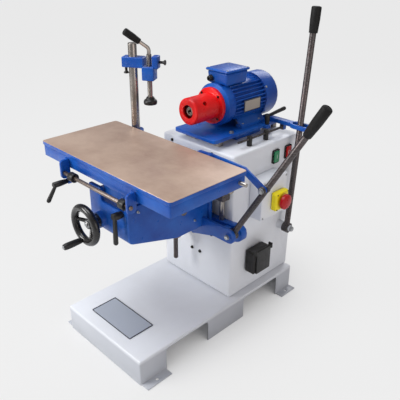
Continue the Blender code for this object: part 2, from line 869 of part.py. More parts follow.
def lever_grip(name, start, end, radius, neck, tube_radius, look):
    """A hand grip over the end of a tube: a sleeve that swells towards its closed, rounded end."""
    way = Vector(end) - Vector(start)
    length = way.length
    profile = [(0, length)]
    profile += arc((radius - GRIP_ROUND, length - GRIP_ROUND), GRIP_ROUND, math.pi / 2, 0, BEND_STEPS)
    profile += [
        (radius, length / 2),
        (neck, 0),
        (tube_radius + SEAT, 0),
        (tube_radius + SEAT, length - GRIP_CAP),
        (0, length - GRIP_CAP),
    ]
    return turned(name, profile, start, way, look, ROUND_SIDES)


def ratchet_lever(name, foot, axis, swing, hub_radius, hub_length, root, tip, look):
    """A clamping lever: a turned hub along an axis, and a tapered handle from its outer end."""
    axis = Vector(axis)
    profile = [
        (0, hub_length),
        (hub_radius - LOCK_CHAMFER, hub_length),
        (hub_radius, hub_length - LOCK_CHAMFER),
        (hub_radius, hub_length / 2),
        (hub_radius - LOCK_CHAMFER, 0),
        (0, 0),
    ]
    lever = turned(name, profile, foot, axis, look, ROUND_SIDES)
    start = Vector(foot) + axis * hub_length * LOCK_ROOT_SHARE
    length = Vector(swing).length
    handle = [(0, length)]
    handle += arc((0, length - tip), tip, math.radians(60), 0, 2)
    handle += [(root, 0), (0, 0)]
    join(lever, turned("lever_handle", handle, start, swing, look, SMALL_SIDES))
    return lever


def knob(name, foot, axis, look):
    """A clamping knob: a slim stem that flares to a round head."""
    profile = [
        (0, KNOB_LENGTH),
        (KNOB_FLARE_RADIUS - KNOB_RIM / 3, KNOB_LENGTH),
        (KNOB_FLARE_RADIUS, KNOB_LENGTH - KNOB_RIM / 3),
        (KNOB_FLARE_RADIUS, KNOB_LENGTH - KNOB_RIM),
        (KNOB_STEM_RADIUS, KNOB_STEM),
        (KNOB_STEM_RADIUS, 0),
        (0, 0),
    ]
    return turned(name, profile, foot, axis, look, ROUND_SIDES)


def make_plinth():
    half = BASE_WIDTH / 2
    back = BASE_FRONT + BASE_LENGTH
    low = (-half, BASE_FRONT, 0)
    high = (half, back, BASE_HEIGHT)
    plinth = open_box("base_plinth", low, high, WHITE, -Z_AXIS, BASE_BEND, BASE_SHEET)
    top = BASE_HEIGHT - GAP_LIP
    gaps = [[BASE_FRONT + share * BASE_LENGTH for share in shares] for shares in LEG_GAP_SHARES]
    for start, end in gaps:
        corners = [(start, -OVERRUN), (end, -OVERRUN), (end, top), (start, top)]
        outline = rounded(corners, [0, 0, GAP_CORNER, GAP_CORNER])
        cut(plinth, flat("leg_gap", outline, BASE_WIDTH + OVERRUN, WHITE, YZ_PLANE, (0, 0, 0)))
    for side in SIDES:
        for start, end in ((BASE_FRONT, gaps[0][0]), (gaps[1][1], back)):
            near = side * (half - BASE_SHEET / 2)
            far = side * (half + FOOT_FLANGE)
            low = (min(near, far), start + FOOT_SETBACK, 0)
            high = (max(near, far), end - FOOT_SETBACK, BASE_SHEET)
            join(plinth, block("foot_flange", low, high, WHITE))
            hole = Vector((side * (half + FOOT_FLANGE / 2), (start + end) / 2, 0))
            bore(plinth, hole, hole + Z_AXIS * BASE_SHEET, FOOT_HOLE_RADIUS, SMALL_SIDES)
    return [plinth]


def make_column():
    low = (-COLUMN_SIDE, COLUMN_FRONT, COLUMN_FOOT)
    high = (COLUMN_SIDE, COLUMN_BACK, COLUMN_TOP)
    cabinet = open_box("column_cabinet", low, high, WHITE, Y_AXIS, COLUMN_BEND, COLUMN_SHEET)
    for y in (GREEN_Y, RED_Y):
        hole = Vector((COLUMN_SIDE, y, BUTTON_Z))
        bore(cabinet, hole, hole - X_AXIS * COLUMN_SHEET, BUTTON_STEM + RUNNING, SMALL_SIDES)
    add_lever_pivot(cabinet)
    cover = block(
        "rear_cover",
        (-COLUMN_SIDE + COVER_MARGIN, COLUMN_BACK + SEAT, COLUMN_FOOT + COVER_MARGIN),
        (COLUMN_SIDE - COVER_MARGIN, COLUMN_BACK + SEAT + COVER_SHEET, COLUMN_TOP - COVER_MARGIN),
        WHITE,
    )
    return [cabinet, cover]


def add_lever_pivot(cabinet):
    """The welded boss on the column's side, with the bolt that carries the motor lever."""
    foot = Vector((COLUMN_SIDE - COLUMN_SHEET / 2, MOTOR_LEVER_Y, MOTOR_LEVER_Z))
    eye = MOTOR_PIVOT - X_AXIS * (MOTOR_LEVER_EYE_HALF + SEAT)
    head = MOTOR_PIVOT + X_AXIS * (MOTOR_LEVER_EYE_HALF + SEAT)
    join(cabinet, rod("lever_pivot", foot, eye, PIVOT_BOSS_RADIUS, WHITE))
    join(cabinet, rod("pivot_bolt", eye - X_AXIS * SINK, head + X_AXIS * SINK, LEVER_BOLT_RADIUS, STEEL))
    join(cabinet, rod("pivot_head", head, head + X_AXIS * BOLT_HEAD, BOLT_HEAD_RADIUS, STEEL))


def make_way_bearing():
    """The block on the column's front that the knee's two bars slide through."""
    back = COLUMN_FRONT - SEAT
    front = back - WAY_BEARING_DEPTH
    low = (-YOKE_HALF_WIDTH, front, WAY_BEARING_LOW)
    high = (YOKE_HALF_WIDTH, back, WAY_BEARING_HIGH)
    bearing = block("way_bearing", low, high, DARK_STEEL, YOKE_EDGE)
    relief_low = (-KNEE_PLATE_HALF - OVERRUN, front - OVERRUN, WAY_BEARING_LOW - OVERRUN)
    relief_high = (KNEE_PLATE_HALF + OVERRUN, KNEE_PLATE_BACK + RUNNING, WAY_BEARING_HIGH + OVERRUN)
    cut(bearing, block("plate_relief", relief_low, relief_high, STEEL))
    for side in SIDES:
        low = (side * WAY_BAR_X, WAY_BAR_Y, WAY_BEARING_LOW)
        high = (side * WAY_BAR_X, WAY_BAR_Y, WAY_BEARING_HIGH)
        bore(bearing, low, high, WAY_BAR_RADIUS + RUNNING)
    return [bearing]


def make_nut():
    """The elevating nut, on an arm from the column's front."""
    low = (SCREW_X - NUT_ARM_HALF, SCREW_Y, NUT_LOW + SINK)
    high = (SCREW_X + NUT_ARM_HALF, COLUMN_FRONT - SEAT, NUT_HIGH - SINK)
    nut = block("elevating_nut", low, high, BRONZE, YOKE_EDGE)
    bottom = (SCREW_X, SCREW_Y, NUT_LOW)
    top = (SCREW_X, SCREW_Y, NUT_HIGH)
    join(nut, rod("nut_boss", bottom, top, NUT_RADIUS, BRONZE))
    bore(nut, bottom, top, SCREW_RADIUS + RUNNING)
    return [nut]


def knee_shell():
    """The knee's body: a side outline run across, rounded, hollowed from below and behind."""
    lip_back = KNEE_FRONT + KNEE_LIP_DEPTH
    corners = [
        (KNEE_FRONT, KNEE_NOSE_BOTTOM),
        (KNEE_SLOPE_END, KNEE_BOTTOM),
        (KNEE_BACK + KNEE_PLATE / 2, KNEE_BOTTOM),
        (KNEE_BACK + KNEE_PLATE / 2, KNEE_TOP),
        (lip_back, KNEE_TOP),
        (lip_back, KNEE_LIP_TOP),
        (KNEE_FRONT, KNEE_LIP_TOP),
    ]
    outline = rounded(corners, [KNEE_CORNER, 0, 0, 0, 0, 0, 0])
    shell = flat("knee_casting", outline, 2 * KNEE_HALF_WIDTH, BLUE, YZ_PLANE, (0, 0, 0))
    bevel(shell, KNEE_EDGE, 2)
    front = KNEE_FRONT + KNEE_WALL
    top = KNEE_TOP - KNEE_WALL
    corners = [(front, 0), (KNEE_BACK + OVERRUN, 0), (KNEE_BACK + OVERRUN, top), (front, top)]
    hollow = rounded(corners, [0, 0, 0, KNEE_EDGE])
    width = 2 * (KNEE_HALF_WIDTH - KNEE_WALL)
    cut(shell, flat("knee_hollow", hollow, width, BLUE, YZ_PLANE, (0, 0, 0)))
    return shell


def cut_knee_front(shell):
    """Lowers the front wall to the right of its lip, with a notch before the table's guide rod."""
    right = KNEE_HALF_WIDTH + OVERRUN
    over = KNEE_LIP_TOP + OVERRUN
    corners = [(KNEE_LIP_END, KNEE_TOP), (right, KNEE_TOP), (right, over), (KNEE_LIP_END, over)]
    thickness = KNEE_LIP_DEPTH + OVERRUN
    middle = (0, KNEE_FRONT + (KNEE_LIP_DEPTH - OVERRUN) / 2 + SINK, 0)
    cut(shell, flat("lip_step", corners, thickness, BLUE, XZ_PLANE, middle))
    corners = [
        (KNEE_LIP_END, KNEE_NOTCH_FLOOR),
        (KNEE_NOTCH_END, KNEE_NOTCH_FLOOR),
        (KNEE_NOTCH_END, over),
        (KNEE_LIP_END, over),
    ]
    outline = rounded(corners, [KNEE_NOTCH_CORNER, KNEE_NOTCH_CORNER, 0, 0])
    cut(shell, flat("front_notch", outline, thickness, BLUE, XZ_PLANE, middle))


def add_knee_back(shell):
    """The plate behind the knee, with the upper yoke for the two bars."""
    low = (-KNEE_PLATE_HALF, KNEE_BACK - SINK, ARM_BOTTOM)
    high = (KNEE_PLATE_HALF, KNEE_PLATE_BACK, YOKE_TOP - SINK)
    plate = block("back_plate", low, high, BLUE, YOKE_EDGE)
    low = (-YOKE_HALF_WIDTH, KNEE_PLATE_BACK - SINK, YOKE_TOP - YOKE_HEIGHT)
    high = (YOKE_HALF_WIDTH, YOKE_BACK, YOKE_TOP)
    join(plate, block("upper_yoke", low, high, BLUE, YOKE_EDGE))
    for side in SIDES:
        low = (side * WAY_BAR_X, WAY_BAR_Y, YOKE_TOP - YOKE_HEIGHT)
        high = (side * WAY_BAR_X, WAY_BAR_Y, YOKE_TOP)
        bore(plate, low, high, WAY_BAR_RADIUS + SEAT)
    join(shell, plate)


def add_knee_bearings(shell):
    """Inside the knee: a cross web for the shaft, a shelf for the screw. In front: the shaft's boss."""
    inner = KNEE_HALF_WIDTH - KNEE_WALL + SINK
    low = (-inner, KNEE_WEB_Y, KNEE_WEB_BOTTOM)
    high = (inner, KNEE_WEB_Y + KNEE_WEB, KNEE_TOP - KNEE_WALL + SINK)
    join(shell, block("cross_web", low, high, BLUE))
    low = (SCREW_X - KNEE_SHELF_HALF, KNEE_WEB_Y + KNEE_WEB / 2, KNEE_SHELF_TOP - KNEE_SHELF)
    high = (SCREW_X + KNEE_SHELF_HALF, KNEE_BACK + KNEE_PLATE / 2, KNEE_SHELF_TOP)
    join(shell, block("screw_shelf", low, high, BLUE))
    shelf = Vector((SCREW_X, SCREW_Y, KNEE_SHELF_TOP))
    bore(shell, shelf, shelf - Z_AXIS * KNEE_SHELF, SCREW_RADIUS + RUNNING)
    front = WHEEL_CENTRE + Y_AXIS * BOSS_FRONT
    wall = WHEEL_CENTRE + Y_AXIS * (KNEE_FRONT + KNEE_WALL / 2)
    join(shell, rod("shaft_boss", front, wall, BOSS_RADIUS, BLUE))
    bore(shell, front, WHEEL_CENTRE + Y_AXIS * (KNEE_WEB_Y + KNEE_WEB), SHAFT_RADIUS + RUNNING)


def make_knee():
    shell = knee_shell()
    cut_knee_front(shell)
    add_knee_back(shell)
    add_knee_bearings(shell)
    bars = []
    for side, word in zip(SIDES, SIDE_NAMES):
        low = (side * WAY_BAR_X, WAY_BAR_Y, ARM_BOTTOM + SINK)
        high = (side * WAY_BAR_X, WAY_BAR_Y, YOKE_TOP - SINK)
        bars.append(rod(f"way_bar_{word}", low, high, WAY_BAR_RADIUS, STEEL))
    return [shell, make_lever_arm(), *bars, *make_guide_bearings()]


def make_lever_arm():
    right = ARM_PIVOT_X + ARM_EYE_RADIUS
    eye_top = ARM_PIVOT_Z + ARM_EYE_RADIUS
    eye_bottom = ARM_PIVOT_Z - ARM_EYE_RADIUS
    turn = ARM_EYE_RADIUS - SINK
    corners = [
        (-YOKE_HALF_WIDTH, ARM_BOTTOM),
        (ARM_PIVOT_X, ARM_BOTTOM),
        (right, eye_bottom),
        (right, eye_top),
        (ARM_SHOULDER_X, ARM_TOP),
        (-YOKE_HALF_WIDTH, ARM_TOP),
    ]
    outline = rounded(corners, [YOKE_EDGE, 0, turn, turn, 0, YOKE_EDGE])
    middle = (0, YOKE_FRONT + YOKE_DEPTH / 2, 0)
    arm = flat("lever_arm", outline, YOKE_DEPTH, BLUE, XZ_PLANE, middle)
    for side in SIDES:
        low = (side * WAY_BAR_X, WAY_BAR_Y, ARM_BOTTOM)
        high = (side * WAY_BAR_X, WAY_BAR_Y, ARM_TOP)
        bore(arm, low, high, WAY_BAR_RADIUS + SEAT)
    root = PIVOT + Y_AXIS * (YOKE_FRONT + YOKE_DEPTH / 2 - LEVER_Y)
    face = PIVOT + Y_AXIS * (LEVER_EYE_HALF + SEAT)
    head = PIVOT - Y_AXIS * (LEVER_EYE_HALF + SEAT)
    join(arm, rod("pivot_boss", root, face, ARM_BOSS_RADIUS, BLUE))
    join(arm, rod("pivot_bolt", root, head - Y_AXIS * ARM_CHEEK / 2, LEVER_BOLT_RADIUS, STEEL))
    cheek_back = head.y - RUNNING
    cheek_front = cheek_back - ARM_CHEEK
    strut_end = ARM_PIVOT_X - LEVER_EYE_RADIUS - RUNNING
    low = (strut_end - ARM_STRUT, cheek_front + SINK, eye_bottom + 2 * SINK)
    high = (strut_end, YOKE_FRONT + YOKE_DEPTH / 2, ARM_TOP - 2 * SINK)
    join(arm, block("arm_strut", low, high, BLUE))
    side = KNEE_HALF_WIDTH + SEAT
    corners = [
        (CHEEK_TOE_X, CHEEK_TOE_Z),
        (CHEEK_HEEL_X, eye_bottom),
        (right, eye_bottom),
        (right, eye_top),
        (side, eye_top),
        (side, KNEE_BOTTOM - SEAT),
        (CHEEK_TOE_X, KNEE_BOTTOM - SEAT),
    ]
    outline = rounded(corners, [YOKE_EDGE, KNEE_CORNER, turn, turn, 0, 0, 0])
    middle = (0, (cheek_back + cheek_front) / 2, 0)
    join(arm, flat("arm_cheek", outline, ARM_CHEEK, BLUE, XZ_PLANE, middle))
    front = PIVOT + Y_AXIS * (cheek_front - LEVER_Y + SINK)
    join(arm, rod("bolt_head", front, front - Y_AXIS * BOLT_HEAD, BOLT_HEAD_RADIUS, STEEL))
    return arm


def make_guide_bearings():
    """Two blocks on the knee's top, which the table's guide rods slide through."""
    bearings = []
    spans = (
        ("front", BEARING_LEFT, BEARING_RIGHT, GUIDE_FRONT_Y),
        ("rear", -BEARING_RIGHT, BEARING_RIGHT, GUIDE_REAR_Y),
    )
    for word, left, right, y in spans:
        low = (left, y - BEARING_HALF, KNEE_TOP + SEAT)
        high = (right, y + BEARING_HALF, BEARING_TOP)
        bearing = block(f"guide_bearing_{word}", low, high, BLUE, BEARING_EDGE)
        bore(bearing, (left, y, GUIDE_Z), (right, y, GUIDE_Z), GUIDE_RADIUS + RUNNING)
        bearings.append(bearing)
    return bearings


def make_handwheel():
    """A dished three-spoke handwheel with its dial, on a shaft that ends in a bevel pinion."""
    rim_centre = WHEEL_RADIUS - WHEEL_RIM_RADIUS
    section = arc((rim_centre, 0), WHEEL_RIM_RADIUS, math.pi / 2, -3 * math.pi / 2, WHEEL_RIM_SIDES)
    wheel = turned("handwheel", section[:-1], WHEEL_CENTRE, Y_AXIS, BLACK, ring=True)
    for index in range(SPOKE_COUNT):
        angle = SPOKE_FIRST + math.tau * index / SPOKE_COUNT
        way = Vector((math.cos(angle), 0, math.sin(angle)))
        start = WHEEL_CENTRE + way * SHAFT_RADIUS * 3 / 2 + Y_AXIS * WHEEL_DISH
        end = WHEEL_CENTRE + way * rim_centre
        join(wheel, rod("spoke", start, end, SPOKE_RADIUS, BLACK, SMALL_SIDES, SPOKE_TIP_RADIUS))
    back = BOSS_FRONT - SEAT
    hub = [
        (DIAL_RADIUS, back),
        (DIAL_RADIUS, DIAL_START),
        (WHEEL_HUB_RADIUS, DIAL_START),
        (WHEEL_HUB_RADIUS, WHEEL_HUB_FRONT),
        (SHAFT_RADIUS + SEAT, WHEEL_HUB_FRONT),
        (SHAFT_RADIUS + SEAT, back),
    ]
    join(wheel, turned("wheel_hub", hub, WHEEL_CENTRE, Y_AXIS, BLACK, ROUND_SIDES, ring=True))
    reach = GRIP_GAP + GRIP_LENGTH + SEAT
    pin_end = CRANK_PIN - Y_AXIS * (reach + SINK)
    join(wheel, rod("crank_pin", CRANK_PIN, pin_end, PIN_RADIUS, STEEL, SMALL_SIDES))
    head = CRANK_PIN - Y_AXIS * (reach + SEAT)
    join(wheel, rod("pin_head", head, head - Y_AXIS * PIN_HEAD, PIN_HEAD_RADIUS, STEEL, SMALL_SIDES))
    return [wheel, make_wheel_shaft()]


def make_wheel_shaft():
    small_end = SCREW_Y - GEAR_INNER
    large_end = SCREW_Y - GEAR_RADIUS
    profile = [
        (0, small_end),
        (GEAR_INNER - GEAR_GAP, small_end),
        (GEAR_RADIUS - GEAR_GAP, large_end),
        (GEAR_HUB_RADIUS, large_end - GEAR_RADIUS + GEAR_HUB_RADIUS),
        (GEAR_HUB_RADIUS, large_end - PINION_HUB),
        (SHAFT_RADIUS, large_end - PINION_HUB),
        (SHAFT_RADIUS, SHAFT_FRONT + SCREW_CHAMFER),
        (SHAFT_RADIUS - SCREW_CHAMFER, SHAFT_FRONT),
        (0, SHAFT_FRONT),
    ]
    return turned("handwheel_shaft", profile, WHEEL_CENTRE, Y_AXIS, STEEL, ROUND_SIDES)


def make_crank_grip():
    """The turning grip on the handwheel's crank pin."""
    start = CRANK_PIN - Y_AXIS * GRIP_GAP
    inner = PIN_RADIUS + RUNNING
    profile = [
        (GRIP_NECK_RADIUS, GRIP_LENGTH),
        (GRIP_RADIUS, GRIP_LENGTH - GRIP_NECK_RADIUS),
        (GRIP_RADIUS, GRIP_LENGTH / 2),
        (GRIP_NECK_RADIUS, 0),
        (inner, 0),
        (inner, GRIP_LENGTH),
    ]
    return [turned("crank_grip", profile, start, -Y_AXIS, BLACK, ROUND_SIDES, ring=True)]


def make_screw():
    """The elevating screw: a bevel gear over the knee's shelf, a collar under it, and the thread."""
    gear_top = WHEEL_Z - GEAR_INNER
    gear_base = WHEEL_Z - GEAR_RADIUS
    shelf_bottom = KNEE_SHELF_TOP - KNEE_SHELF
    profile = [
        (0, gear_top),
        (GEAR_INNER - GEAR_GAP, gear_top),
        (GEAR_RADIUS - GEAR_GAP, gear_base),
        (GEAR_HUB_RADIUS, gear_base - GEAR_RADIUS + GEAR_HUB_RADIUS),
        (GEAR_HUB_RADIUS, KNEE_SHELF_TOP + SEAT),
        (SCREW_RADIUS, KNEE_SHELF_TOP + SEAT),
        (SCREW_RADIUS, shelf_bottom - SEAT),
        (SCREW_COLLAR_RADIUS, shelf_bottom - SEAT),
        (SCREW_COLLAR_RADIUS, shelf_bottom - SCREW_COLLAR),
        (SCREW_RADIUS, shelf_bottom - SCREW_COLLAR),
        (SCREW_RADIUS, SCREW_BOTTOM + SCREW_CHAMFER),
        (SCREW_RADIUS - SCREW_CHAMFER, SCREW_BOTTOM),
        (0, SCREW_BOTTOM),
    ]
    return [turned("elevating_screw", profile, (SCREW_X, SCREW_Y, 0), Z_AXIS, STEEL, ROUND_SIDES)]


def make_table():
    low = (TABLE_LEFT, TABLE_FRONT)
    high = (TABLE_RIGHT, TABLE_FRONT + TABLE_DEPTH)
    outline = rectangle(low, high, TABLE_CORNER)
    middle = (0, 0, TABLE_TOP - TABLE_PLATE / 2)
    top = flat("table_top", outline, TABLE_PLATE, GROUND, XY_PLANE, middle)
    bevel(top, TABLE_EDGE)
    frame = table_rim()
    add_guide_lugs(frame)
    add_slot_bracket(frame)
    add_post_lug(frame)
    pin = Vector((RIM_RIGHT - RIM_WALL / 2, GUIDE_REAR_Y, SIDE_PIN_Z))
    tip = pin + X_AXIS * (RIM_WALL / 2 + SIDE_PIN_OUT)
    join(frame, rod("side_pin", pin, tip, SIDE_PIN_RADIUS, STEEL))
    rods = []
    for word, y in (("front", GUIDE_FRONT_Y), ("rear", GUIDE_REAR_Y)):
        start = (RIM_LEFT + GUIDE_LUG_INSET / 2, y, GUIDE_Z)
        end = (RIM_RIGHT - GUIDE_LUG_INSET / 2, y, GUIDE_Z)
        rods.append(rod(f"guide_rod_{word}", start, end, GUIDE_RADIUS, STEEL))
    return [top, frame, *rods]


def table_rim():
    """The cast rim under the table's plate, with windows between its ribs."""
    outline = rectangle((RIM_LEFT, RIM_FRONT), (RIM_RIGHT, RIM_BACK), TABLE_CORNER - RIM_INSET)
    height = RIM_TOP - RIM_BOTTOM
    middle = (0, 0, (RIM_TOP + RIM_BOTTOM) / 2)
    rim = flat("table_frame", outline, height, BLUE, XY_PLANE, middle)
    pitch = (RIM_RIGHT - RIM_LEFT - RIM_WALL) / RIM_WINDOWS
    for index in range(RIM_WINDOWS):
        start = RIM_LEFT + RIM_WALL + pitch * index
        near = (start, RIM_FRONT + RIM_WALL)
        far = (start + pitch - RIM_WALL, RIM_BACK - RIM_WALL)
        outline = rectangle(near, far, RIM_WINDOW_CORNER)
        cut(rim, flat("rim_window", outline, height + OVERRUN, BLUE, XY_PLANE, middle))
    return rim


def add_guide_lugs(frame):
    """Two more ribs across the rim, with lugs below them, which hold the guide rods."""
    places = (RIM_LEFT + GUIDE_LUG_INSET, RIM_RIGHT - GUIDE_LUG_INSET)
    for place in places:
        low = (place - GUIDE_LUG / 2, RIM_FRONT + RIM_WALL / 2, RIM_BOTTOM + SINK)
        high = (place + GUIDE_LUG / 2, RIM_BACK - RIM_WALL / 2, RIM_TOP - SINK)
        join(frame, block("guide_rib", low, high, BLUE))
    for y in (GUIDE_FRONT_Y, GUIDE_REAR_Y):
        corners = [
            (y - GUIDE_LUG_HALF, GUIDE_Z - GUIDE_LUG_HALF),
            (y + GUIDE_LUG_HALF, GUIDE_Z - GUIDE_LUG_HALF),
            (y + GUIDE_LUG_HALF, RIM_BOTTOM + SINK),
            (y - GUIDE_LUG_HALF, RIM_BOTTOM + SINK),
        ]
        outline = rounded(corners, [GUIDE_LUG_HALF - SINK, GUIDE_LUG_HALF - SINK, 0, 0])
        for place in places:
            join(frame, flat("guide_lug", outline, GUIDE_LUG - SINK, BLUE, YZ_PLANE, (place, 0, 0)))
        bore(frame, (RIM_LEFT, y, GUIDE_Z), (RIM_RIGHT, y, GUIDE_Z), GUIDE_RADIUS + SEAT)


def add_slot_bracket(frame):
    """A slotted plate behind the rim, between two cheeks, for the pin of the lever's strap."""
    middle = STRAP_Y - STRAP_THICK / 2 - SLOT_GAP - SLOT_PLATE / 2
    left = STRAP_END_X - SLOT_PLATE_HALF
    right = STRAP_END_X + SLOT_PLATE_HALF
    outline = rectangle((left, SLOT_PLATE_LOW), (right, SLOT_PLATE_HIGH), SLOT_CORNER)
    slot = rectangle(
        (STRAP_END_X - SLOT_HALF_LENGTH, STRAP_END_Z - SLOT_DROP),
        (STRAP_END_X + SLOT_HALF_LENGTH, STRAP_END_Z + SLOT_RISE),
        SLOT_CORNER,
    )
    plate = flat("slot_plate", outline, SLOT_PLATE, BLUE, XZ_PLANE, (0, middle, 0), [slot])
    for start in (left + SINK, right - SLOT_CHEEK - SINK):
        low = (start, RIM_BACK - RIM_WALL / 2, SLOT_PLATE_LOW + SINK)
        high = (start + SLOT_CHEEK, middle, SLOT_PLATE_HIGH - SINK)
        join(plate, block("slot_cheek", low, high, BLUE))
    join(frame, plate)


def add_post_lug(frame):
    """The round lug behind the rim that holds the clamp's post."""
    left = POST_X - POST_LUG_HALF
    right = POST_X + POST_LUG_HALF
    back = POST_Y + POST_LUG_HALF
    near = RIM_BACK - RIM_WALL / 2
    corners = [(left, near), (right, near), (right, back), (left, back)]
    turn = POST_LUG_HALF - SINK
    outline = rounded(corners, [0, 0, turn, turn])
    middle = (0, 0, (POST_LUG_LOW + POST_LUG_HIGH) / 2)
    join(frame, flat("post_lug", outline, POST_LUG_HIGH - POST_LUG_LOW, BLUE, XY_PLANE, middle))
    bore(frame, (POST_X, POST_Y, POST_LUG_LOW), (POST_X, POST_Y, POST_LUG_HIGH), POST_RADIUS + RUNNING)


def stop_bracket(name, x, boss):
    """A web across the stop rod with a flange on the rim. The left one has the lock's boss below."""
    back = RIM_FRONT - SEAT
    outline = rectangle((BRACKET_FRONT, BRACKET_BOTTOM), (back, BRACKET_TOP), BRACKET_CORNER)
    bracket = flat(name, outline, BRACKET_SHEET, BLUE, YZ_PLANE, (x, 0, 0))
    low = (x - BRACKET_FLANGE_OUT, back - BRACKET_FLANGE, BRACKET_FLANGE_LOW)
    high = (x, back, BRACKET_TOP - SINK)
    join(bracket, block("bracket_flange", low, high, BLUE))
    if boss:
        front = Vector((x, STOP_LOCK_FOOT, STOP_LOCK_Z))
        rear = Vector((x, back - SINK, STOP_LOCK_Z))
        join(bracket, rod("lock_boss", front, rear, STOP_LOCK_BOSS, BLUE))
        neck_low = (x - BRACKET_SHEET / 2 + SINK, STOP_LOCK_FOOT + SINK, STOP_LOCK_Z)
        neck_high = (x + BRACKET_SHEET / 2 - SINK, back - 2 * SINK, BRACKET_BOTTOM + BRACKET_CORNER)
        join(bracket, block("boss_neck", neck_low, neck_high, BLUE))
    half = X_AXIS * BRACKET_SHEET / 2
    centre = Vector((x, STOP_ROD_Y, STOP_ROD_Z))
    bore(bracket, centre - half, centre + half, STOP_ROD_RADIUS + SEAT)
    return bracket


def make_travel_stop():
    left = stop_bracket("stop_bracket_left", BRACKET_LEFT, True)
    right = stop_bracket("stop_bracket_right", BRACKET_RIGHT, False)
    reach = BRACKET_SHEET / 2 + STOP_ROD_PROUD
    start = (BRACKET_LEFT - reach, STOP_ROD_Y, STOP_ROD_Z)
    end = (BRACKET_RIGHT + reach, STOP_ROD_Y, STOP_ROD_Z)
    bar = rod("stop_rod", start, end, STOP_ROD_RADIUS, STEEL)
    collars = []
    inner = STOP_ROD_RADIUS + SEAT
    for word, x in (("left", COLLAR_LEFT), ("right", COLLAR_RIGHT)):
        profile = [(COLLAR_RADIUS, COLLAR_LENGTH), (COLLAR_RADIUS, 0), (inner, 0), (inner, COLLAR_LENGTH)]
        base = (x - COLLAR_LENGTH / 2, STOP_ROD_Y, STOP_ROD_Z)
        collars.append(turned(f"stop_collar_{word}", profile, base, X_AXIS, BLACK, ROUND_SIDES, ring=True))
    return [left, right, bar, *collars]


def make_stop_lock():
    foot = (BRACKET_LEFT, STOP_LOCK_FOOT - SEAT, STOP_LOCK_Z)
    swing = (0, -STOP_LOCK_SPLAY, -STOP_LOCK_DROP)
    size = (LOCK_HUB_RADIUS, STOP_LOCK_HUB_LENGTH, LOCK_HANDLE_RADIUS, LOCK_TIP_RADIUS)
    return [ratchet_lever("stop_lock_lever", foot, -Y_AXIS, swing, *size, BLACK)]


def make_travel_lock():
    foot = (TRAVEL_LOCK_X, KNEE_FRONT - SEAT, TRAVEL_LOCK_Z)
    swing = (0, -TRAVEL_LOCK_SPLAY, -TRAVEL_LOCK_DROP)
    size = (
        TRAVEL_LOCK_HUB_RADIUS,
        TRAVEL_LOCK_HUB_LENGTH,
        TRAVEL_LOCK_HANDLE_RADIUS,
        TRAVEL_LOCK_TIP_RADIUS,
    )
    return [ratchet_lever("travel_lock_lever", foot, -Y_AXIS, swing, *size, BLACK)]


def make_slide_lock():
    foot = (SLIDE_LOCK_X, SLIDE_LOCK_Y, PLATE_TOP + SEAT)
    swing = (
        SLIDE_LOCK_REACH * math.cos(SLIDE_LOCK_AZIMUTH),
        SLIDE_LOCK_REACH * math.sin(SLIDE_LOCK_AZIMUTH),
        SLIDE_LOCK_RISE,
    )
    size = (LOCK_HUB_RADIUS, LOCK_HUB_LENGTH, LOCK_HANDLE_RADIUS, LOCK_TIP_RADIUS)
    return [ratchet_lever("slide_lock_lever", foot, Z_AXIS, swing, *size, BLACK)]


def make_table_lever():
    """The long lever on the knee's arm, with its eye, the strap's bolt and the hand grip."""
    half = Y_AXIS * LEVER_EYE_HALF
    way = (LEVER_TOP - PIVOT).normalized()
    tube_end = LEVER_TOP - way * (GRIP_CAP + SEAT)
    lever = rod("table_lever", PIVOT, tube_end, LEVER_RADIUS, DARK_STEEL)
    join(lever, rod("pivot_eye", PIVOT - half, PIVOT + half, LEVER_EYE_RADIUS, DARK_STEEL))
    bore(lever, PIVOT - half, PIVOT + half, LEVER_BOLT_RADIUS + RUNNING)
    face = LEVER_BOLT + Y_AXIS * (STRAP_Y + STRAP_THICK / 2 + SEAT - LEVER_Y)
    head = LEVER_BOLT + Y_AXIS * (STRAP_Y - STRAP_THICK / 2 - SEAT - LEVER_Y)
    join(lever, rod("bolt_collar", LEVER_BOLT, face, BOLT_HEAD_RADIUS, DARK_STEEL))
    join(lever, rod("strap_bolt", LEVER_BOLT, head - Y_AXIS * SINK, LEVER_BOLT_RADIUS, DARK_STEEL))
    join(lever, rod("strap_bolt_head", head, head - Y_AXIS * BOLT_HEAD, BOLT_HEAD_RADIUS, DARK_STEEL))
    start = LEVER_TOP - way * LEVER_GRIP_LENGTH
    size = (LEVER_GRIP_RADIUS, LEVER_GRIP_NECK, LEVER_RADIUS)
    grip = lever_grip("table_lever_grip", start, LEVER_TOP, *size, RUBBER)
    return [lever, grip]


def make_strap():
    """The bent flat strap from the lever's bolt to the pin in the table's slotted plate."""
    path = [
        (STRAP_END_X, STRAP_END_Z),
        (STRAP_BEND_X, STRAP_BEND_Z),
        (LEVER_BOLT.x, LEVER_BOLT.z),
    ]
    strap = flat("table_strap", strip(path, STRAP_HALF_HEIGHT), STRAP_THICK, BLUE, XZ_PLANE, (0, STRAP_Y, 0))
    bolt = Vector((LEVER_BOLT.x, STRAP_Y, LEVER_BOLT.z))
    half = Y_AXIS * STRAP_THICK / 2
    bore(strap, bolt - half, bolt + half, LEVER_BOLT_RADIUS + RUNNING)
    pin = Vector((STRAP_END_X, STRAP_Y, STRAP_END_Z))
    reach = STRAP_THICK / 2 + SLOT_GAP + SLOT_PLATE + SINK
    join(strap, rod("strap_pin", pin, pin - Y_AXIS * reach, STRAP_PIN_RADIUS, STEEL, SMALL_SIDES))
    return [strap]


def make_post():
    low = (POST_X, POST_Y, POST_FOOT)
    high = (POST_X, POST_Y, POST_TOP)
    post = rod("clamp_post", low, high, POST_RADIUS, STEEL)
    bevel(post, TABLE_EDGE)
    return [post]


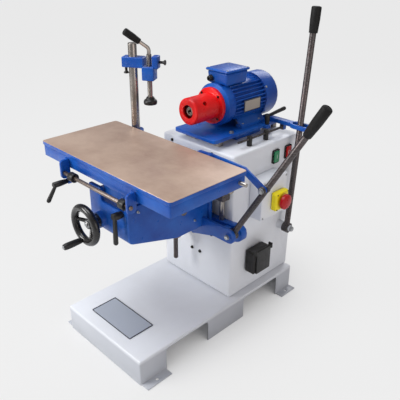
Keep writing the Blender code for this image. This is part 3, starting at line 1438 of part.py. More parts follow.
def make_clamp_arm():
    """The arm on the post: a clamping block, a lower guide block for the spindle and a nose."""
    low = (-CLAMP_ARM_BACK, -CLAMP_ARM_HALF, CLAMP_ARM_LOW)
    high = (CLAMP_ARM_FRONT, CLAMP_ARM_HALF, CLAMP_ARM_HIGH)
    arm = in_arm(block("clamp_arm", low, high, BLUE, CLAMP_EDGE))
    low = (CLAMP_REACH - GUIDE_BLOCK_HALF, -GUIDE_BLOCK_HALF, GUIDE_BLOCK_LOW)
    high = (CLAMP_REACH + GUIDE_BLOCK_HALF, GUIDE_BLOCK_HALF, GUIDE_BLOCK_HIGH)
    join(arm, in_arm(block("guide_block", low, high, BLUE, CLAMP_EDGE)))
    low = (CLAMP_NOSE_START, -CLAMP_NOSE_HALF, CLAMP_NOSE_LOW)
    high = (CLAMP_NOSE_END, CLAMP_NOSE_HALF, CLAMP_NOSE_HIGH)
    join(arm, in_arm(block("clamp_nose", low, high, BLUE, CLAMP_EDGE)))
    post = Vector((POST_X, POST_Y, CLAMP_ARM_LOW))
    bore(arm, post, Vector((POST_X, POST_Y, CLAMP_ARM_HIGH)), POST_RADIUS + RUNNING)
    bottom = SPINDLE + Z_AXIS * GUIDE_BLOCK_LOW
    bore(arm, bottom, SPINDLE + Z_AXIS * GUIDE_BLOCK_HIGH, SPINDLE_RADIUS + RUNNING)
    return [arm]


def make_clamp_knobs():
    arm_foot = CLAMP_PLACE @ Vector((-ARM_KNOB_BACK, 0, CLAMP_ARM_LOW - SEAT))
    nose_middle = (CLAMP_NOSE_LOW + CLAMP_NOSE_HIGH) / 2
    nose_foot = CLAMP_PLACE @ Vector((CLAMP_NOSE_END + SEAT, 0, nose_middle))
    nose_way = CLAMP_PLACE.to_3x3() @ X_AXIS
    return [
        knob("arm_lock_knob", arm_foot, -Z_AXIS, BLACK),
        knob("guide_lock_knob", nose_foot, nose_way, BLACK),
    ]


def make_pad():
    """The domed pressure pad, with the socket for the spindle's end."""
    height = PAD_TOP - PAD_BOTTOM
    socket = SPINDLE_RADIUS + RUNNING
    profile = [(PAD_NECK_RADIUS, height)]
    profile += arc((PAD_NECK_RADIUS, PAD_RIM), PAD_RADIUS - PAD_NECK_RADIUS, math.radians(70), 0, 3)
    profile += [
        (PAD_RADIUS - SINK, 0),
        (0, 0),
        (0, PAD_SOCKET),
        (socket, PAD_SOCKET),
        (socket, height),
    ]
    base = SPINDLE + Z_AXIS * PAD_BOTTOM
    return [turned("clamp_pad", profile, base, Z_AXIS, BLACK, ROUND_SIDES, ring=True)]


def make_clamp_crank():
    """The clamping spindle with its bent crank, and the sleeve on the crank's end."""
    start = SPINDLE + Z_AXIS * (PAD_BOTTOM + PAD_SOCKET + SEAT)
    end = SPINDLE + Z_AXIS * (CLAMP_ARM_LOW + SEAT)
    spindle = rod("clamp_crank", start, end, SPINDLE_RADIUS, STEEL)
    corner = SPINDLE + Z_AXIS * CRANK_BEND_Z
    way = Vector((
        CRANK_REACH * math.cos(CRANK_AZIMUTH),
        CRANK_REACH * math.sin(CRANK_AZIMUTH),
        CRANK_RISE,
    ))
    tip = corner + way
    cap = way.normalized() * (GRIP_CAP + SEAT)
    path = bent([end - Z_AXIS * SPINDLE_RADIUS, corner, tip - cap], CRANK_BEND_RADIUS)
    join(spindle, pipe("crank_rod", path, CRANK_RADIUS, STEEL))
    size = (CRANK_SLEEVE_RADIUS, CRANK_SLEEVE_NECK, CRANK_RADIUS)
    sleeve = lever_grip("crank_sleeve", corner + way * CRANK_SLEEVE_START_SHARE, tip, *size, RUBBER)
    return [spindle, sleeve]


def make_slide_rails():
    """Two round rails on the column's top, each between two feet."""
    rails = []
    low_z = COLUMN_TOP + SEAT
    for side, word in zip(SIDES, SIDE_NAMES):
        x = side * SLIDE_X
        start = (x, SLIDE_FRONT + SINK, RAIL_Z)
        end = (x, SLIDE_REAR - SINK, RAIL_Z)
        rail = rod(f"slide_rail_{word}", start, end, SLIDE_RADIUS, STEEL)
        for y in (SLIDE_FRONT, SLIDE_REAR - SLIDE_FOOT_LENGTH):
            low = (x - SLIDE_FOOT_HALF, y, low_z)
            high = (x + SLIDE_FOOT_HALF, y + SLIDE_FOOT_LENGTH, low_z + SLIDE_FOOT_HEIGHT)
            join(rail, block("rail_foot", low, high, STEEL, SLIDE_FOOT_EDGE))
        rails.append(rail)
    return rails


def make_stop_posts():
    """Two posts on the column's top that guide the depth rod."""
    posts = []
    for word, y in (("front", STOP_POST_FRONT), ("rear", STOP_POST_REAR)):
        low = (DEPTH_ROD_X, y, COLUMN_TOP + SEAT)
        high = (DEPTH_ROD_X, y, STOP_POST_TOP)
        post = rod(f"stop_post_{word}", low, high, STOP_POST_RADIUS, BLACK)
        start = (DEPTH_ROD_X, y - STOP_POST_RADIUS, DEPTH_ROD_Z)
        end = (DEPTH_ROD_X, y + STOP_POST_RADIUS, DEPTH_ROD_Z)
        bore(post, start, end, DEPTH_ROD_RADIUS + RUNNING, SMALL_SIDES)
        posts.append(post)
    return posts


def make_motor_plate():
    """The plate that carries the motor, with a long bush over each rail and an ear for the lock."""
    corners = [
        (-PLATE_HALF_WIDTH, PLATE_FRONT),
        (PLATE_HALF_WIDTH, PLATE_FRONT),
        (PLATE_HALF_WIDTH, SLIDE_LOCK_Y - LOCK_EAR_HALF),
        (LOCK_EAR_X, SLIDE_LOCK_Y - LOCK_EAR_HALF),
        (LOCK_EAR_X, SLIDE_LOCK_Y + LOCK_EAR_HALF),
        (PLATE_HALF_WIDTH, SLIDE_LOCK_Y + LOCK_EAR_HALF),
        (PLATE_HALF_WIDTH, PLATE_REAR),
        (-PLATE_HALF_WIDTH, PLATE_REAR),
    ]
    ear = LOCK_EAR_HALF - SINK
    outline = rounded(corners, [PLATE_CORNER, PLATE_CORNER, 0, ear, ear, 0, PLATE_CORNER, PLATE_CORNER])
    middle = (0, 0, (PLATE_BOTTOM + PLATE_TOP) / 2)
    plate = flat("motor_plate", outline, PLATE_THICK, BLUE, XY_PLANE, middle)
    for side in SIDES:
        x = side * SLIDE_X
        low = (x - BUSH_HALF, BUSH_FRONT, COLUMN_TOP + BUSH_CLEAR)
        high = (x + BUSH_HALF, BUSH_REAR, PLATE_BOTTOM + SINK)
        join(plate, block("rail_bush", low, high, BLUE))
        bore(plate, (x, BUSH_FRONT, RAIL_Z), (x, BUSH_REAR, RAIL_Z), SLIDE_RADIUS + RUNNING)
    return [plate]


def make_cross_bar():
    """The bar that the motor lever pushes through its loop, with the depth rod under it."""
    loop_start = LOOP_X - LOOP_HALF_LENGTH
    ends = [(loop_start + LOOP_HALF_WIDTH, BAR_Y), (LOOP_X + LOOP_HALF_LENGTH - LOOP_HALF_WIDTH, BAR_Y)]
    hole = strip(ends, LOOP_HALF_WIDTH - LOOP_WALL)
    middle = (0, 0, BAR_Z)
    loop = flat("cross_bar", strip(ends, LOOP_HALF_WIDTH), BAR_HEIGHT, BLUE, XY_PLANE, middle, [hole])
    low = (BAR_START, BAR_Y - BAR_HALF, BAR_Z - BAR_HEIGHT / 2)
    high = (loop_start + LOOP_WALL / 2, BAR_Y + BAR_HALF, BAR_Z + BAR_HEIGHT / 2)
    join(loop, block("bar", low, high, BLUE))
    low = (DEPTH_ROD_X - DEPTH_LUG_HALF, BAR_Y - DEPTH_LUG_HALF, DEPTH_ROD_Z - DEPTH_LUG_HALF)
    high = (DEPTH_ROD_X + DEPTH_LUG_HALF, BAR_Y + DEPTH_LUG_HALF, BAR_Z)
    join(loop, block("rod_lug", low, high, BLUE))
    start = (DEPTH_ROD_X, DEPTH_ROD_FRONT, DEPTH_ROD_Z)
    end = (DEPTH_ROD_X, BAR_Y, DEPTH_ROD_Z)
    join(loop, rod("depth_rod", start, end, DEPTH_ROD_RADIUS, STEEL, SMALL_SIDES))
    return [loop]


def motor_fins():
    """Cooling fins along the motor's frame, all round but for the places of the box and the feet."""
    start = SHIELD_END - SINK
    end = FRAME_END + SINK
    root = FRAME_RADIUS - FIN_THICK
    size = Matrix.Diagonal((FIN_RADIUS - root, end - start, FIN_THICK, 1))
    out = Matrix.Translation(((FIN_RADIUS + root) / 2, (start + end) / 2, 0))
    bm = bmesh.new()
    for index in range(FIN_SLOTS):
        angle = math.tau * (index + 1 / 2) / FIN_SLOTS
        from_top = abs(angle - math.pi / 2)
        from_foot = abs(angle - 3 * math.pi / 2)
        if from_top > FIN_FREE_TOP and from_foot > FIN_FREE_FOOT:
            turn = Matrix.Rotation(-angle, 4, "Y")
            bmesh.ops.create_cube(bm, size=1, matrix=turn @ out @ size)
    fins = solid("motor_fins", bm, BLUE)
    fins.location = MOTOR_AXIS
    return fins


def make_motor_housing():
    """The motor's frame with its end shields, feet and terminal pedestal, bored for the stator."""
    start = MOTOR_AXIS + Y_AXIS * FRAME_END
    front_end = MOTOR_AXIS + Y_AXIS * (SHIELD_END - 2 * SINK)
    frame = rod("motor_housing", front_end, start + Y_AXIS * 2 * SINK, FRAME_RADIUS, BLUE, FIN_SLOTS)
    join(frame, motor_fins())
    depth = SHIELD_END - SHIELD_FRONT
    edge = [(SHIELD_RADIUS, depth), (SHIELD_RADIUS, SHIELD_ROUND), (SHIELD_FACE_RADIUS, 0)]
    front = [(0, depth), *edge, (0, 0)]
    join(frame, turned("front_shield", front, MOTOR_AXIS + Y_AXIS * SHIELD_FRONT, Y_AXIS, BLUE))
    outer = COWL_RADIUS - COWL_SHEET - SEAT
    rear = [(0, REAR_SHIELD), (outer, REAR_SHIELD), (outer, 0), (0, 0)]
    join(frame, turned("rear_shield", rear, start, Y_AXIS, BLUE))
    for side in SIDES:
        join(frame, motor_foot(side))
    low = (-BOX_HALF, BOX_START - SINK, BOX_LOW - SINK)
    high = (BOX_HALF, SHIELD_END + SINK, MOTOR_Z + SHIELD_RADIUS + OVERRUN)
    cut(frame, block("box_land", low, high, STEEL))
    low = (-PEDESTAL_HALF, PEDESTAL_START, MOTOR_Z + FRAME_RADIUS - SHIELD_ROUND)
    high = (PEDESTAL_HALF, PEDESTAL_END, BOX_LOW - SEAT)
    join(frame, block("box_pedestal", low, high, BLUE, BOX_EDGE))
    stator = MOTOR_AXIS + Y_AXIS * (SHIELD_FRONT + SHIELD_WALL)
    cut(frame, rod("stator_bore", stator, start, STATOR_BORE, STEEL))
    end = start + Y_AXIS * REAR_SHIELD
    bore(frame, MOTOR_AXIS + Y_AXIS * SHIELD_FRONT, end, MOTOR_SHAFT_RADIUS + RUNNING)
    return frame


def motor_foot(side):
    """One foot rail with its web, as a section run along the frame."""
    bottom = PLATE_TOP + SEAT
    web_foot = bottom + FOOT_THICK + FOOT_WEB_HALF
    corners = [
        (FOOT_X - FOOT_HALF, bottom),
        (FOOT_X + FOOT_HALF, bottom),
        (FOOT_X + FOOT_HALF, bottom + FOOT_THICK),
        (FOOT_X + FOOT_WEB_HALF, web_foot),
        (FOOT_WEB_X + FOOT_WEB_HALF, MOTOR_Z - FOOT_WEB_DROP),
        (FOOT_WEB_X - FOOT_WEB_HALF, MOTOR_Z - FOOT_WEB_DROP),
        (FOOT_X - FOOT_WEB_HALF, web_foot),
        (FOOT_X - FOOT_HALF, bottom + FOOT_THICK),
    ]
    outline = [(side * x, z) for x, z in corners]
    length = COWL_START - SEAT - FOOT_START
    return flat("motor_foot", outline, length, BLUE, XZ_PLANE, (0, FOOT_START + length / 2, 0))


def make_terminal_box():
    """The terminal box, narrower at its foot, under a wider lid."""
    middle = Vector((0, (BOX_START + BOX_END) / 2, (BOX_LOW + BOX_HIGH) / 2))
    half = Vector((BOX_HALF, (BOX_END - BOX_START) / 2, (BOX_HIGH - BOX_LOW) / 2))
    bm = bmesh.new()
    bmesh.ops.create_cube(bm, size=2, matrix=Matrix.Diagonal((*half, 1)))
    for vert in bm.verts:
        if vert.co.z < 0:
            vert.co.x *= BOX_DRAFT_SHARE
            vert.co.y *= BOX_DRAFT_SHARE
    box = solid("terminal_box", bm, BLUE)
    box.location = middle
    bevel(box, BOX_EDGE)
    low = (-BOX_HALF - LID_OVERHANG, BOX_START - LID_OVERHANG, BOX_HIGH + SEAT)
    high = (BOX_HALF + LID_OVERHANG, BOX_END + LID_OVERHANG, BOX_HIGH + SEAT + LID_THICK)
    lid = block("terminal_lid", low, high, BLUE, BOX_EDGE)
    return [box, lid]


def make_cowl():
    """The fan cowl: a thin cup over the rear shield, with radial slots in its end."""
    length = COWL_END - COWL_START
    inner = COWL_RADIUS - COWL_SHEET
    turn = COWL_ROUND - COWL_SHEET
    profile = [(0, length)]
    profile += arc((COWL_RADIUS - COWL_ROUND, length - COWL_ROUND), COWL_ROUND, math.pi / 2, 0)
    profile += [(COWL_RADIUS, 0), (inner, 0)]
    profile += arc((COWL_RADIUS - COWL_ROUND, length - COWL_ROUND), turn, 0, math.pi / 2, 2)
    profile += [(0, length - COWL_SHEET)]
    cowl = turned("fan_cowl", profile, MOTOR_AXIS + Y_AXIS * COWL_START, Y_AXIS, BLUE)
    cut(cowl, grille_cutter())
    return cowl


def grille_cutter():
    """Radial bars around the motor's axis, through the cowl's end."""
    bm = bmesh.new()
    reach = GRILLE_OUTER - GRILLE_INNER
    size = Matrix.Diagonal((reach, 2 * OVERRUN, GRILLE_SLOT, 1))
    out = Matrix.Translation(((GRILLE_OUTER + GRILLE_INNER) / 2, 0, 0))
    for index in range(GRILLE_SLOTS):
        turn = Matrix.Rotation(math.tau * index / GRILLE_SLOTS, 4, "Y")
        bmesh.ops.create_cube(bm, size=1, matrix=turn @ out @ size)
    cutter = solid("grille_slots", bm, BLUE)
    cutter.location = MOTOR_AXIS + Y_AXIS * COWL_END
    return cutter


def make_guard():
    """The chuck guard: a thick ring with a mouth in front, a flange behind and a hole for the key."""
    length = SHIELD_FRONT - SEAT - GUARD_FRONT
    profile = [
        (SHIELD_FACE_RADIUS, length),
        (SHIELD_FACE_RADIUS, length - GUARD_FLANGE),
        (GUARD_RADIUS, length - GUARD_FLANGE),
        (GUARD_RADIUS, GUARD_CHAMFER),
        (GUARD_RADIUS - GUARD_CHAMFER, 0),
        (GUARD_MOUTH, 0),
        (GUARD_MOUTH, GUARD_MOUTH_DEPTH),
        (GUARD_BORE, GUARD_MOUTH_DEPTH),
        (GUARD_BORE, length),
    ]
    base = MOTOR_AXIS + Y_AXIS * GUARD_FRONT
    guard = turned("chuck_guard", profile, base, Y_AXIS, RED, ring=True)
    way = Vector((math.cos(KEY_HOLE_ANGLE), 0, math.sin(KEY_HOLE_ANGLE)))
    middle = MOTOR_AXIS + Y_AXIS * KEY_HOLE_Y
    inner = middle + way * (GUARD_BORE - OVERRUN)
    bore(guard, inner, middle + way * GUARD_RADIUS, KEY_HOLE_RADIUS, SMALL_SIDES)
    return guard


def make_rotor():
    """The motor's shaft with its rotor core."""
    profile = [
        (0, MOTOR_SHAFT_END),
        (MOTOR_SHAFT_RADIUS, MOTOR_SHAFT_END),
        (MOTOR_SHAFT_RADIUS, ROTOR_END),
        (ROTOR_RADIUS, ROTOR_END),
        (ROTOR_RADIUS, ROTOR_START),
        (MOTOR_SHAFT_RADIUS, ROTOR_START),
        (MOTOR_SHAFT_RADIUS, MOTOR_SHAFT_FRONT),
        (0, MOTOR_SHAFT_FRONT),
    ]
    return turned("rotor_shaft", profile, MOTOR_AXIS, Y_AXIS, STEEL, ROUND_SIDES)


def make_chuck():
    """The drill chuck on the shaft's front end, with three jaws that stand out of its nose."""
    length = CHUCK_BACK - CHUCK_FRONT
    socket = MOTOR_SHAFT_RADIUS + SEAT
    profile = [
        (CHUCK_BACK_RADIUS, length),
        (CHUCK_RADIUS, length - CHUCK_RADIUS + CHUCK_BACK_RADIUS),
        (CHUCK_RADIUS, CHUCK_NOSE),
        (CHUCK_NOSE_RADIUS, 0),
        (CHUCK_BORE, 0),
        (CHUCK_BORE, CHUCK_SOCKET),
        (socket, CHUCK_SOCKET),
        (socket, length),
    ]
    base = MOTOR_AXIS + Y_AXIS * CHUCK_FRONT
    chuck = turned("drill_chuck", profile, base, Y_AXIS, STEEL, ROUND_SIDES, ring=True)
    middle = (JAW_INNER + CHUCK_BORE + SINK) / 2
    depth = CHUCK_BORE + SINK - JAW_INNER
    for index in range(JAW_COUNT):
        angle = math.tau * index / JAW_COUNT + math.pi / 2
        low = (-depth / 2, -JAW_PROUD, -JAW_WIDTH / 2)
        high = (depth / 2, JAW_LENGTH, JAW_WIDTH / 2)
        jaw = block("chuck_jaw", low, high, STEEL)
        way = Vector((math.cos(angle), 0, math.sin(angle)))
        jaw.matrix_basis = (
            Matrix.Translation(base + way * middle) @ Matrix.Rotation(-angle, 4, "Y") @ jaw.matrix_basis
        )
        join(chuck, jaw)
    return chuck


def make_fan():
    """The cooling fan: a hub, a disc and straight blades."""
    inner = MOTOR_SHAFT_RADIUS + SEAT
    profile = [
        (FAN_HUB_RADIUS, FAN_LENGTH),
        (FAN_HUB_RADIUS, FAN_DISC),
        (FAN_DISC_RADIUS, FAN_DISC),
        (FAN_DISC_RADIUS, 0),
        (inner, 0),
        (inner, FAN_LENGTH),
    ]
    base = MOTOR_AXIS + Y_AXIS * FAN_START
    fan = turned("cooling_fan", profile, base, Y_AXIS, BLACK, ROUND_SIDES, ring=True)
    for index in range(FAN_BLADES):
        low = (FAN_HUB_RADIUS - FAN_BLADE, FAN_DISC / 2, -FAN_BLADE / 2)
        high = (FAN_RADIUS, FAN_LENGTH - SINK, FAN_BLADE / 2)
        blade = block("fan_blade", low, high, BLACK)
        turn = Matrix.Rotation(math.tau * index / FAN_BLADES, 4, "Y")
        blade.matrix_basis = Matrix.Translation(base) @ turn @ blade.matrix_basis
        join(fan, blade)
    return fan


def make_motor_lever():
    """The upright lever on the column's side, its pivot boss and its grip."""
    tube_end = MOTOR_TOP - MOTOR_LEVER_WAY * (GRIP_CAP + SEAT)
    lever = rod("motor_lever", MOTOR_PIVOT, tube_end, MOTOR_LEVER_RADIUS, DARK_STEEL)
    half = X_AXIS * MOTOR_LEVER_EYE_HALF
    join(lever, rod("lever_eye", MOTOR_PIVOT - half, MOTOR_PIVOT + half, MOTOR_LEVER_EYE, DARK_STEEL))
    bore(lever, MOTOR_PIVOT - half, MOTOR_PIVOT + half, LEVER_BOLT_RADIUS + RUNNING)
    start = MOTOR_TOP - MOTOR_LEVER_WAY * MOTOR_GRIP_LENGTH
    size = (MOTOR_GRIP_RADIUS, MOTOR_GRIP_NECK, MOTOR_LEVER_RADIUS)
    grip = lever_grip("motor_lever_grip", start, MOTOR_TOP, *size, RUBBER)
    return [lever, grip]


def make_controls():
    """The switch enclosure with the stop switch's box, and the supply inlet."""
    side = COLUMN_SIDE + SEAT
    low = (side, BOX_FRONT_Y, BOX_FOOT_Z)
    high = (BOX_FACE, BOX_BACK_Y, BOX_HEAD_Z)
    enclosure = block("switch_enclosure", low, high, WHITE, BOX_ROUND)
    low = (BOX_FACE + SEAT, STOP_BOX_Y - STOP_BOX_HALF, STOP_BOX_Z - STOP_BOX_HALF)
    high = (STOP_BOX_FACE, STOP_BOX_Y + STOP_BOX_HALF, STOP_BOX_Z + STOP_BOX_HALF)
    stop_box = block("stop_box", low, high, YELLOW, STOP_BOX_ROUND)
    face = Vector((STOP_BOX_FACE, STOP_BOX_Y, STOP_BOX_Z))
    bore(stop_box, face, face - X_AXIS * MUSHROOM_DEPTH, MUSHROOM_STEM + RUNNING)
    return [enclosure, stop_box]


def make_inlet():
    """The supply inlet on the column's side: a box with a round socket and two hinge lugs."""
    low = (COLUMN_SIDE + SEAT, INLET_FRONT_Y, INLET_LOW)
    high = (INLET_FACE, INLET_BACK_Y, INLET_HIGH)
    box = block("inlet_box", low, high, BLACK, INLET_ROUND)
    hinge = FLAP_HINGE
    for y in (INLET_FRONT_Y, INLET_BACK_Y - FLAP_LUG):
        low = (INLET_FACE - FLAP_LUG, y + SINK, INLET_HIGH - FLAP_LUG)
        high = (hinge.x + FLAP_BARREL, y + FLAP_LUG - SINK, INLET_HIGH + FLAP_LUG_HEIGHT)
        join(box, block("hinge_lug", low, high, BLACK))
    middle = Vector((INLET_FACE, (INLET_FRONT_Y + INLET_BACK_Y) / 2, (INLET_LOW + INLET_HIGH) / 2))
    bore(box, middle, middle - X_AXIS * (INLET_DEPTH - OVERRUN), INLET_BORE)
    return [box]


def make_flap():
    """The inlet's flap, which hangs closed from a barrel between the lugs."""
    start = INLET_FRONT_Y + FLAP_LUG + SEAT - SINK
    end = INLET_BACK_Y - FLAP_LUG - SEAT + SINK
    low = (INLET_FACE + SEAT, start + FLAP_MARGIN / 2, INLET_LOW + FLAP_MARGIN)
    high = (INLET_FACE + SEAT + FLAP_THICK, end - FLAP_MARGIN / 2, FLAP_HINGE.z)
    flap = block("inlet_flap", low, high, BLACK)
    barrel_start = (FLAP_HINGE.x, start, FLAP_HINGE.z)
    barrel_end = (FLAP_HINGE.x, end, FLAP_HINGE.z)
    join(flap, rod("flap_barrel", barrel_start, barrel_end, FLAP_BARREL, BLACK, SMALL_SIDES))
    return [flap]


def make_mushroom():
    """The red mushroom of the stop switch."""
    base = Vector((STOP_BOX_FACE - MUSHROOM_DEPTH, STOP_BOX_Y, STOP_BOX_Z))
    stem = MUSHROOM_DEPTH + MUSHROOM_GAP
    top = stem + MUSHROOM_HEIGHT
    profile = [
        (0, top),
        (MUSHROOM_RADIUS - MUSHROOM_RIM * 2, top - SINK),
        (MUSHROOM_RADIUS - SINK, top - MUSHROOM_RIM),
        (MUSHROOM_RADIUS, stem + SINK),
        (MUSHROOM_RADIUS - SINK, stem),
        (MUSHROOM_STEM, stem),
        (MUSHROOM_STEM, MUSHROOM_GAP),
        (0, MUSHROOM_GAP),
    ]
    return [turned("stop_mushroom", profile, base, X_AXIS, RED, ROUND_SIDES)]


def make_button(name, y, look):
    """A push button: an upright cap on a stem that passes the column's side."""
    low = (y - BUTTON_HALF_WIDTH, BUTTON_Z - BUTTON_HALF_HEIGHT)
    high = (y + BUTTON_HALF_WIDTH, BUTTON_Z + BUTTON_HALF_HEIGHT)
    outline = rectangle(low, high, BUTTON_CORNER)
    middle = (COLUMN_SIDE + BUTTON_GAP + BUTTON_OUT / 2, 0, 0)
    cap = flat(name, outline, BUTTON_OUT, look, YZ_PLANE, middle)
    bevel(cap, SINK)
    outer = (COLUMN_SIDE + BUTTON_GAP + BUTTON_OUT / 2, y, BUTTON_Z)
    inner = (COLUMN_SIDE + BUTTON_GAP - BUTTON_STEM_LENGTH, y, BUTTON_Z)
    join(cap, rod("button_stem", inner, outer, BUTTON_STEM, look, SMALL_SIDES))
    return cap


def build_knee_group():
    """Everything that rises and falls with the knee."""
    knee = spot("knee_lift", (0, WAY_BAR_Y, KNEE_BOTTOM))
    carry(knee, *make_knee())
    wheel = spot("handwheel_turn", WHEEL_CENTRE)
    carry(wheel, *make_handwheel())
    grip = spot("crank_grip_spin", CRANK_PIN)
    carry(grip, *make_crank_grip())
    carry(wheel, grip)
    screw = spot("screw_turn", (SCREW_X, SCREW_Y, KNEE_SHELF_TOP))
    carry(screw, *make_screw())
    travel_lock = spot("travel_lock_turn", (TRAVEL_LOCK_X, KNEE_FRONT, TRAVEL_LOCK_Z))
    carry(travel_lock, *make_travel_lock())
    lever = spot("table_lever_turn", PIVOT)
    carry(lever, *make_table_lever())
    strap = spot("strap_turn", LEVER_BOLT)
    carry(strap, *make_strap())
    carry(lever, strap)
    carry(knee, wheel, screw, travel_lock, lever, build_table_group())


def build_table_group():
    """The table with its travel stop and the clamp on its post."""
    table = spot("table_travel", (0, TABLE_FRONT, TABLE_TOP))
    carry(table, *make_table(), *make_travel_stop())
    lock = spot("stop_lock_turn", (BRACKET_LEFT, BRACKET_FRONT, STOP_LOCK_Z))
    carry(lock, *make_stop_lock())
    post = spot("post_swing", (POST_X, POST_Y, POST_FOOT))
    carry(post, *make_post())
    arm = spot("arm_height", (POST_X, POST_Y, CLAMP_ARM_LOW))
    carry(arm, *make_clamp_arm())
    for piece in make_clamp_knobs():
        turn = spot(f"{piece.name}_turn", piece.matrix_basis.translation)
        carry(turn, piece)
        carry(arm, turn)
    feed = spot("clamp_feed", SPINDLE + Z_AXIS * PAD_BOTTOM)
    carry(feed, *make_pad())
    crank = spot("clamp_turn", SPINDLE + Z_AXIS * CRANK_BEND_Z)
    carry(crank, *make_clamp_crank())
    carry(feed, crank)
    carry(arm, feed)
    carry(post, arm)
    carry(table, lock, post)
    return table


def build_motor_group():
    """The motor slide with the motor, its rotor and the levers that move and lock it."""
    slide = spot("motor_slide", (0, PLATE_REAR, PLATE_TOP))
    housing = [make_motor_housing(), *make_terminal_box(), make_cowl(), make_guard()]
    carry(slide, *make_motor_plate(), *make_cross_bar(), *housing)
    rotor = spot("rotor_spin", MOTOR_AXIS)
    carry(rotor, make_rotor(), make_chuck(), make_fan())
    lock = spot("slide_lock_turn", (SLIDE_LOCK_X, SLIDE_LOCK_Y, PLATE_TOP))
    carry(lock, *make_slide_lock())
    carry(slide, rotor, lock)
    lever = spot("motor_lever_turn", MOTOR_PIVOT)
    carry(lever, *make_motor_lever())


def build_switches():
    """The moving pieces of the controls, each on its own joint."""
    face = (COLUMN_SIDE, GREEN_Y, BUTTON_Z)
    carry(spot("green_press", face), make_button("green_button", GREEN_Y, GREEN))
    face = (COLUMN_SIDE, RED_Y, BUTTON_Z)
    carry(spot("red_press", face), make_button("red_button", RED_Y, RED))
    carry(spot("stop_press", (STOP_BOX_FACE, STOP_BOX_Y, STOP_BOX_Z)), *make_mushroom())
    carry(spot("flap_turn", FLAP_HINGE), *make_flap())


def main():
    make_plinth()
    make_column()
    make_way_bearing()
    make_nut()
    make_slide_rails()
    make_stop_posts()
    make_controls()
    make_inlet()
    build_knee_group()
    build_motor_group()
    build_switches()


main()
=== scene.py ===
import json
import math

import bmesh
import bpy
from mathutils import Matrix, Vector

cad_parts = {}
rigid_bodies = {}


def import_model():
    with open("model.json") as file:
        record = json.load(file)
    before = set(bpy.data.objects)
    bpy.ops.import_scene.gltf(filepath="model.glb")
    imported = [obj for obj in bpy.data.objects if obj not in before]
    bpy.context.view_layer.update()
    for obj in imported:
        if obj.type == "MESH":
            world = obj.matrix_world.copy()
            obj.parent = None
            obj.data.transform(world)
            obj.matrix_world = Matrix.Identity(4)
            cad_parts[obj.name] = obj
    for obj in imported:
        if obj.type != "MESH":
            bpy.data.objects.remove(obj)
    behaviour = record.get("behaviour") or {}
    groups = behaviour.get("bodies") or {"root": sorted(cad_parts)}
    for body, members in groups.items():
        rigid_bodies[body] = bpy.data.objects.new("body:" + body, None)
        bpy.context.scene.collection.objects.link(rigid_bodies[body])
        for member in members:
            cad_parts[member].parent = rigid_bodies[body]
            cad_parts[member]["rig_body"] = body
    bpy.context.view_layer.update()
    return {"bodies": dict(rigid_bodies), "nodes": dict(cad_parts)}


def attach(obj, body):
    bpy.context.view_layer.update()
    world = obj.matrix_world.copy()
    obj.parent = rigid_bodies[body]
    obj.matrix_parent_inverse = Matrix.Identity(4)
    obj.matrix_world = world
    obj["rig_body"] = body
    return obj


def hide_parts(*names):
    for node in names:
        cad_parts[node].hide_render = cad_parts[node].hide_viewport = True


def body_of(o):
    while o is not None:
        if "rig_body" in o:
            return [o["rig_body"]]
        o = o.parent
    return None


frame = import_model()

bpy.ops.object.select_all(action="DESELECT")

X = Vector((1, 0, 0))
Y = Vector((0, 1, 0))
Z = Vector((0, 0, 1))

# Colours as they look in daylight: red, green and blue in bytes
SHEET_WHITE = (226, 229, 235)
SHEET_SHADE = (206, 207, 211)
CAST_BLUE = (26, 94, 184)
CAST_BLUE_DEEP = (10, 62, 150)
GUARD_RED = (238, 22, 20)
GUARD_RED_DEEP = (190, 12, 18)
BARE_METAL = (150, 146, 140)
GROUND_TAN = (190, 164, 146)
GROUND_BROWN = (160, 132, 116)
BAR_STEEL = (168, 160, 152)
BAR_STEEL_DARK = (120, 112, 104)
OILED_STEEL = (68, 50, 47)
OILED_STEEL_DARK = (38, 28, 26)
ROD_BROWN = (128, 108, 94)
ROD_BROWN_DARK = (78, 62, 52)
# Painted shade on the plinth's skirt, where less light falls
SKIRT_PAINTED_SHADE = (172, 176, 184)
BRONZE = (186, 146, 88)
BRONZE_DARK = (140, 104, 58)
MOULDED_BLACK = (24, 23, 23)
MOULDED_BLACK_WORN = (42, 40, 38)
GRIP_BLACK = (22, 22, 22)
STOP_YELLOW = (252, 232, 20)
BUTTON_RED = (176, 6, 10)
BUTTON_GREEN = (20, 118, 72)
ZINC = (206, 208, 210)
ZINC_DARK = (150, 152, 154)
PLATE_GREY = (184, 192, 206)
PLATE_TAN = (176, 164, 148)
LINE_DARK = (70, 72, 82)
MARK_WHITE = (232, 232, 228)
BACKDROP = (238, 238, 238)
GROUND_PALE = (206, 186, 170)
STAIN_BROWN = (128, 96, 84)
GRIP_BLACK_WORN = (34, 34, 33)
STOP_YELLOW_WORN = (214, 190, 20)
BUTTON_RED_WORN = (190, 24, 24)
BUTTON_GREEN_WORN = (36, 140, 92)
BLACK_ZINC = (70, 68, 66)
BLACK_ZINC_DARK = (34, 32, 31)
LINE_DARK_WORN = (96, 98, 108)
MARK_WHITE_WORN = (206, 206, 202)

# Places that several pieces share, in metres
SKIRT_TOP = 0.093
MOTOR_AXIS_HEIGHT = 0.7556
MOTOR_LEVER_PIVOT_Y = 0.690
MOTOR_LEVER_PIVOT_Z = 0.302
TABLE_LEVER_FOOT_X = 0.2145
TABLE_LEVER_FOOT_Z = 0.3991


def linear(colour):
    """A colour written in bytes, as the shader wants it."""
    out = []
    for byte in colour:
        share = byte / 255
        out.append(share / 12.92 if share <= 0.04045 else ((share + 0.055) / 1.055) ** 2.4)
    return (*out, 1)


# Finishes


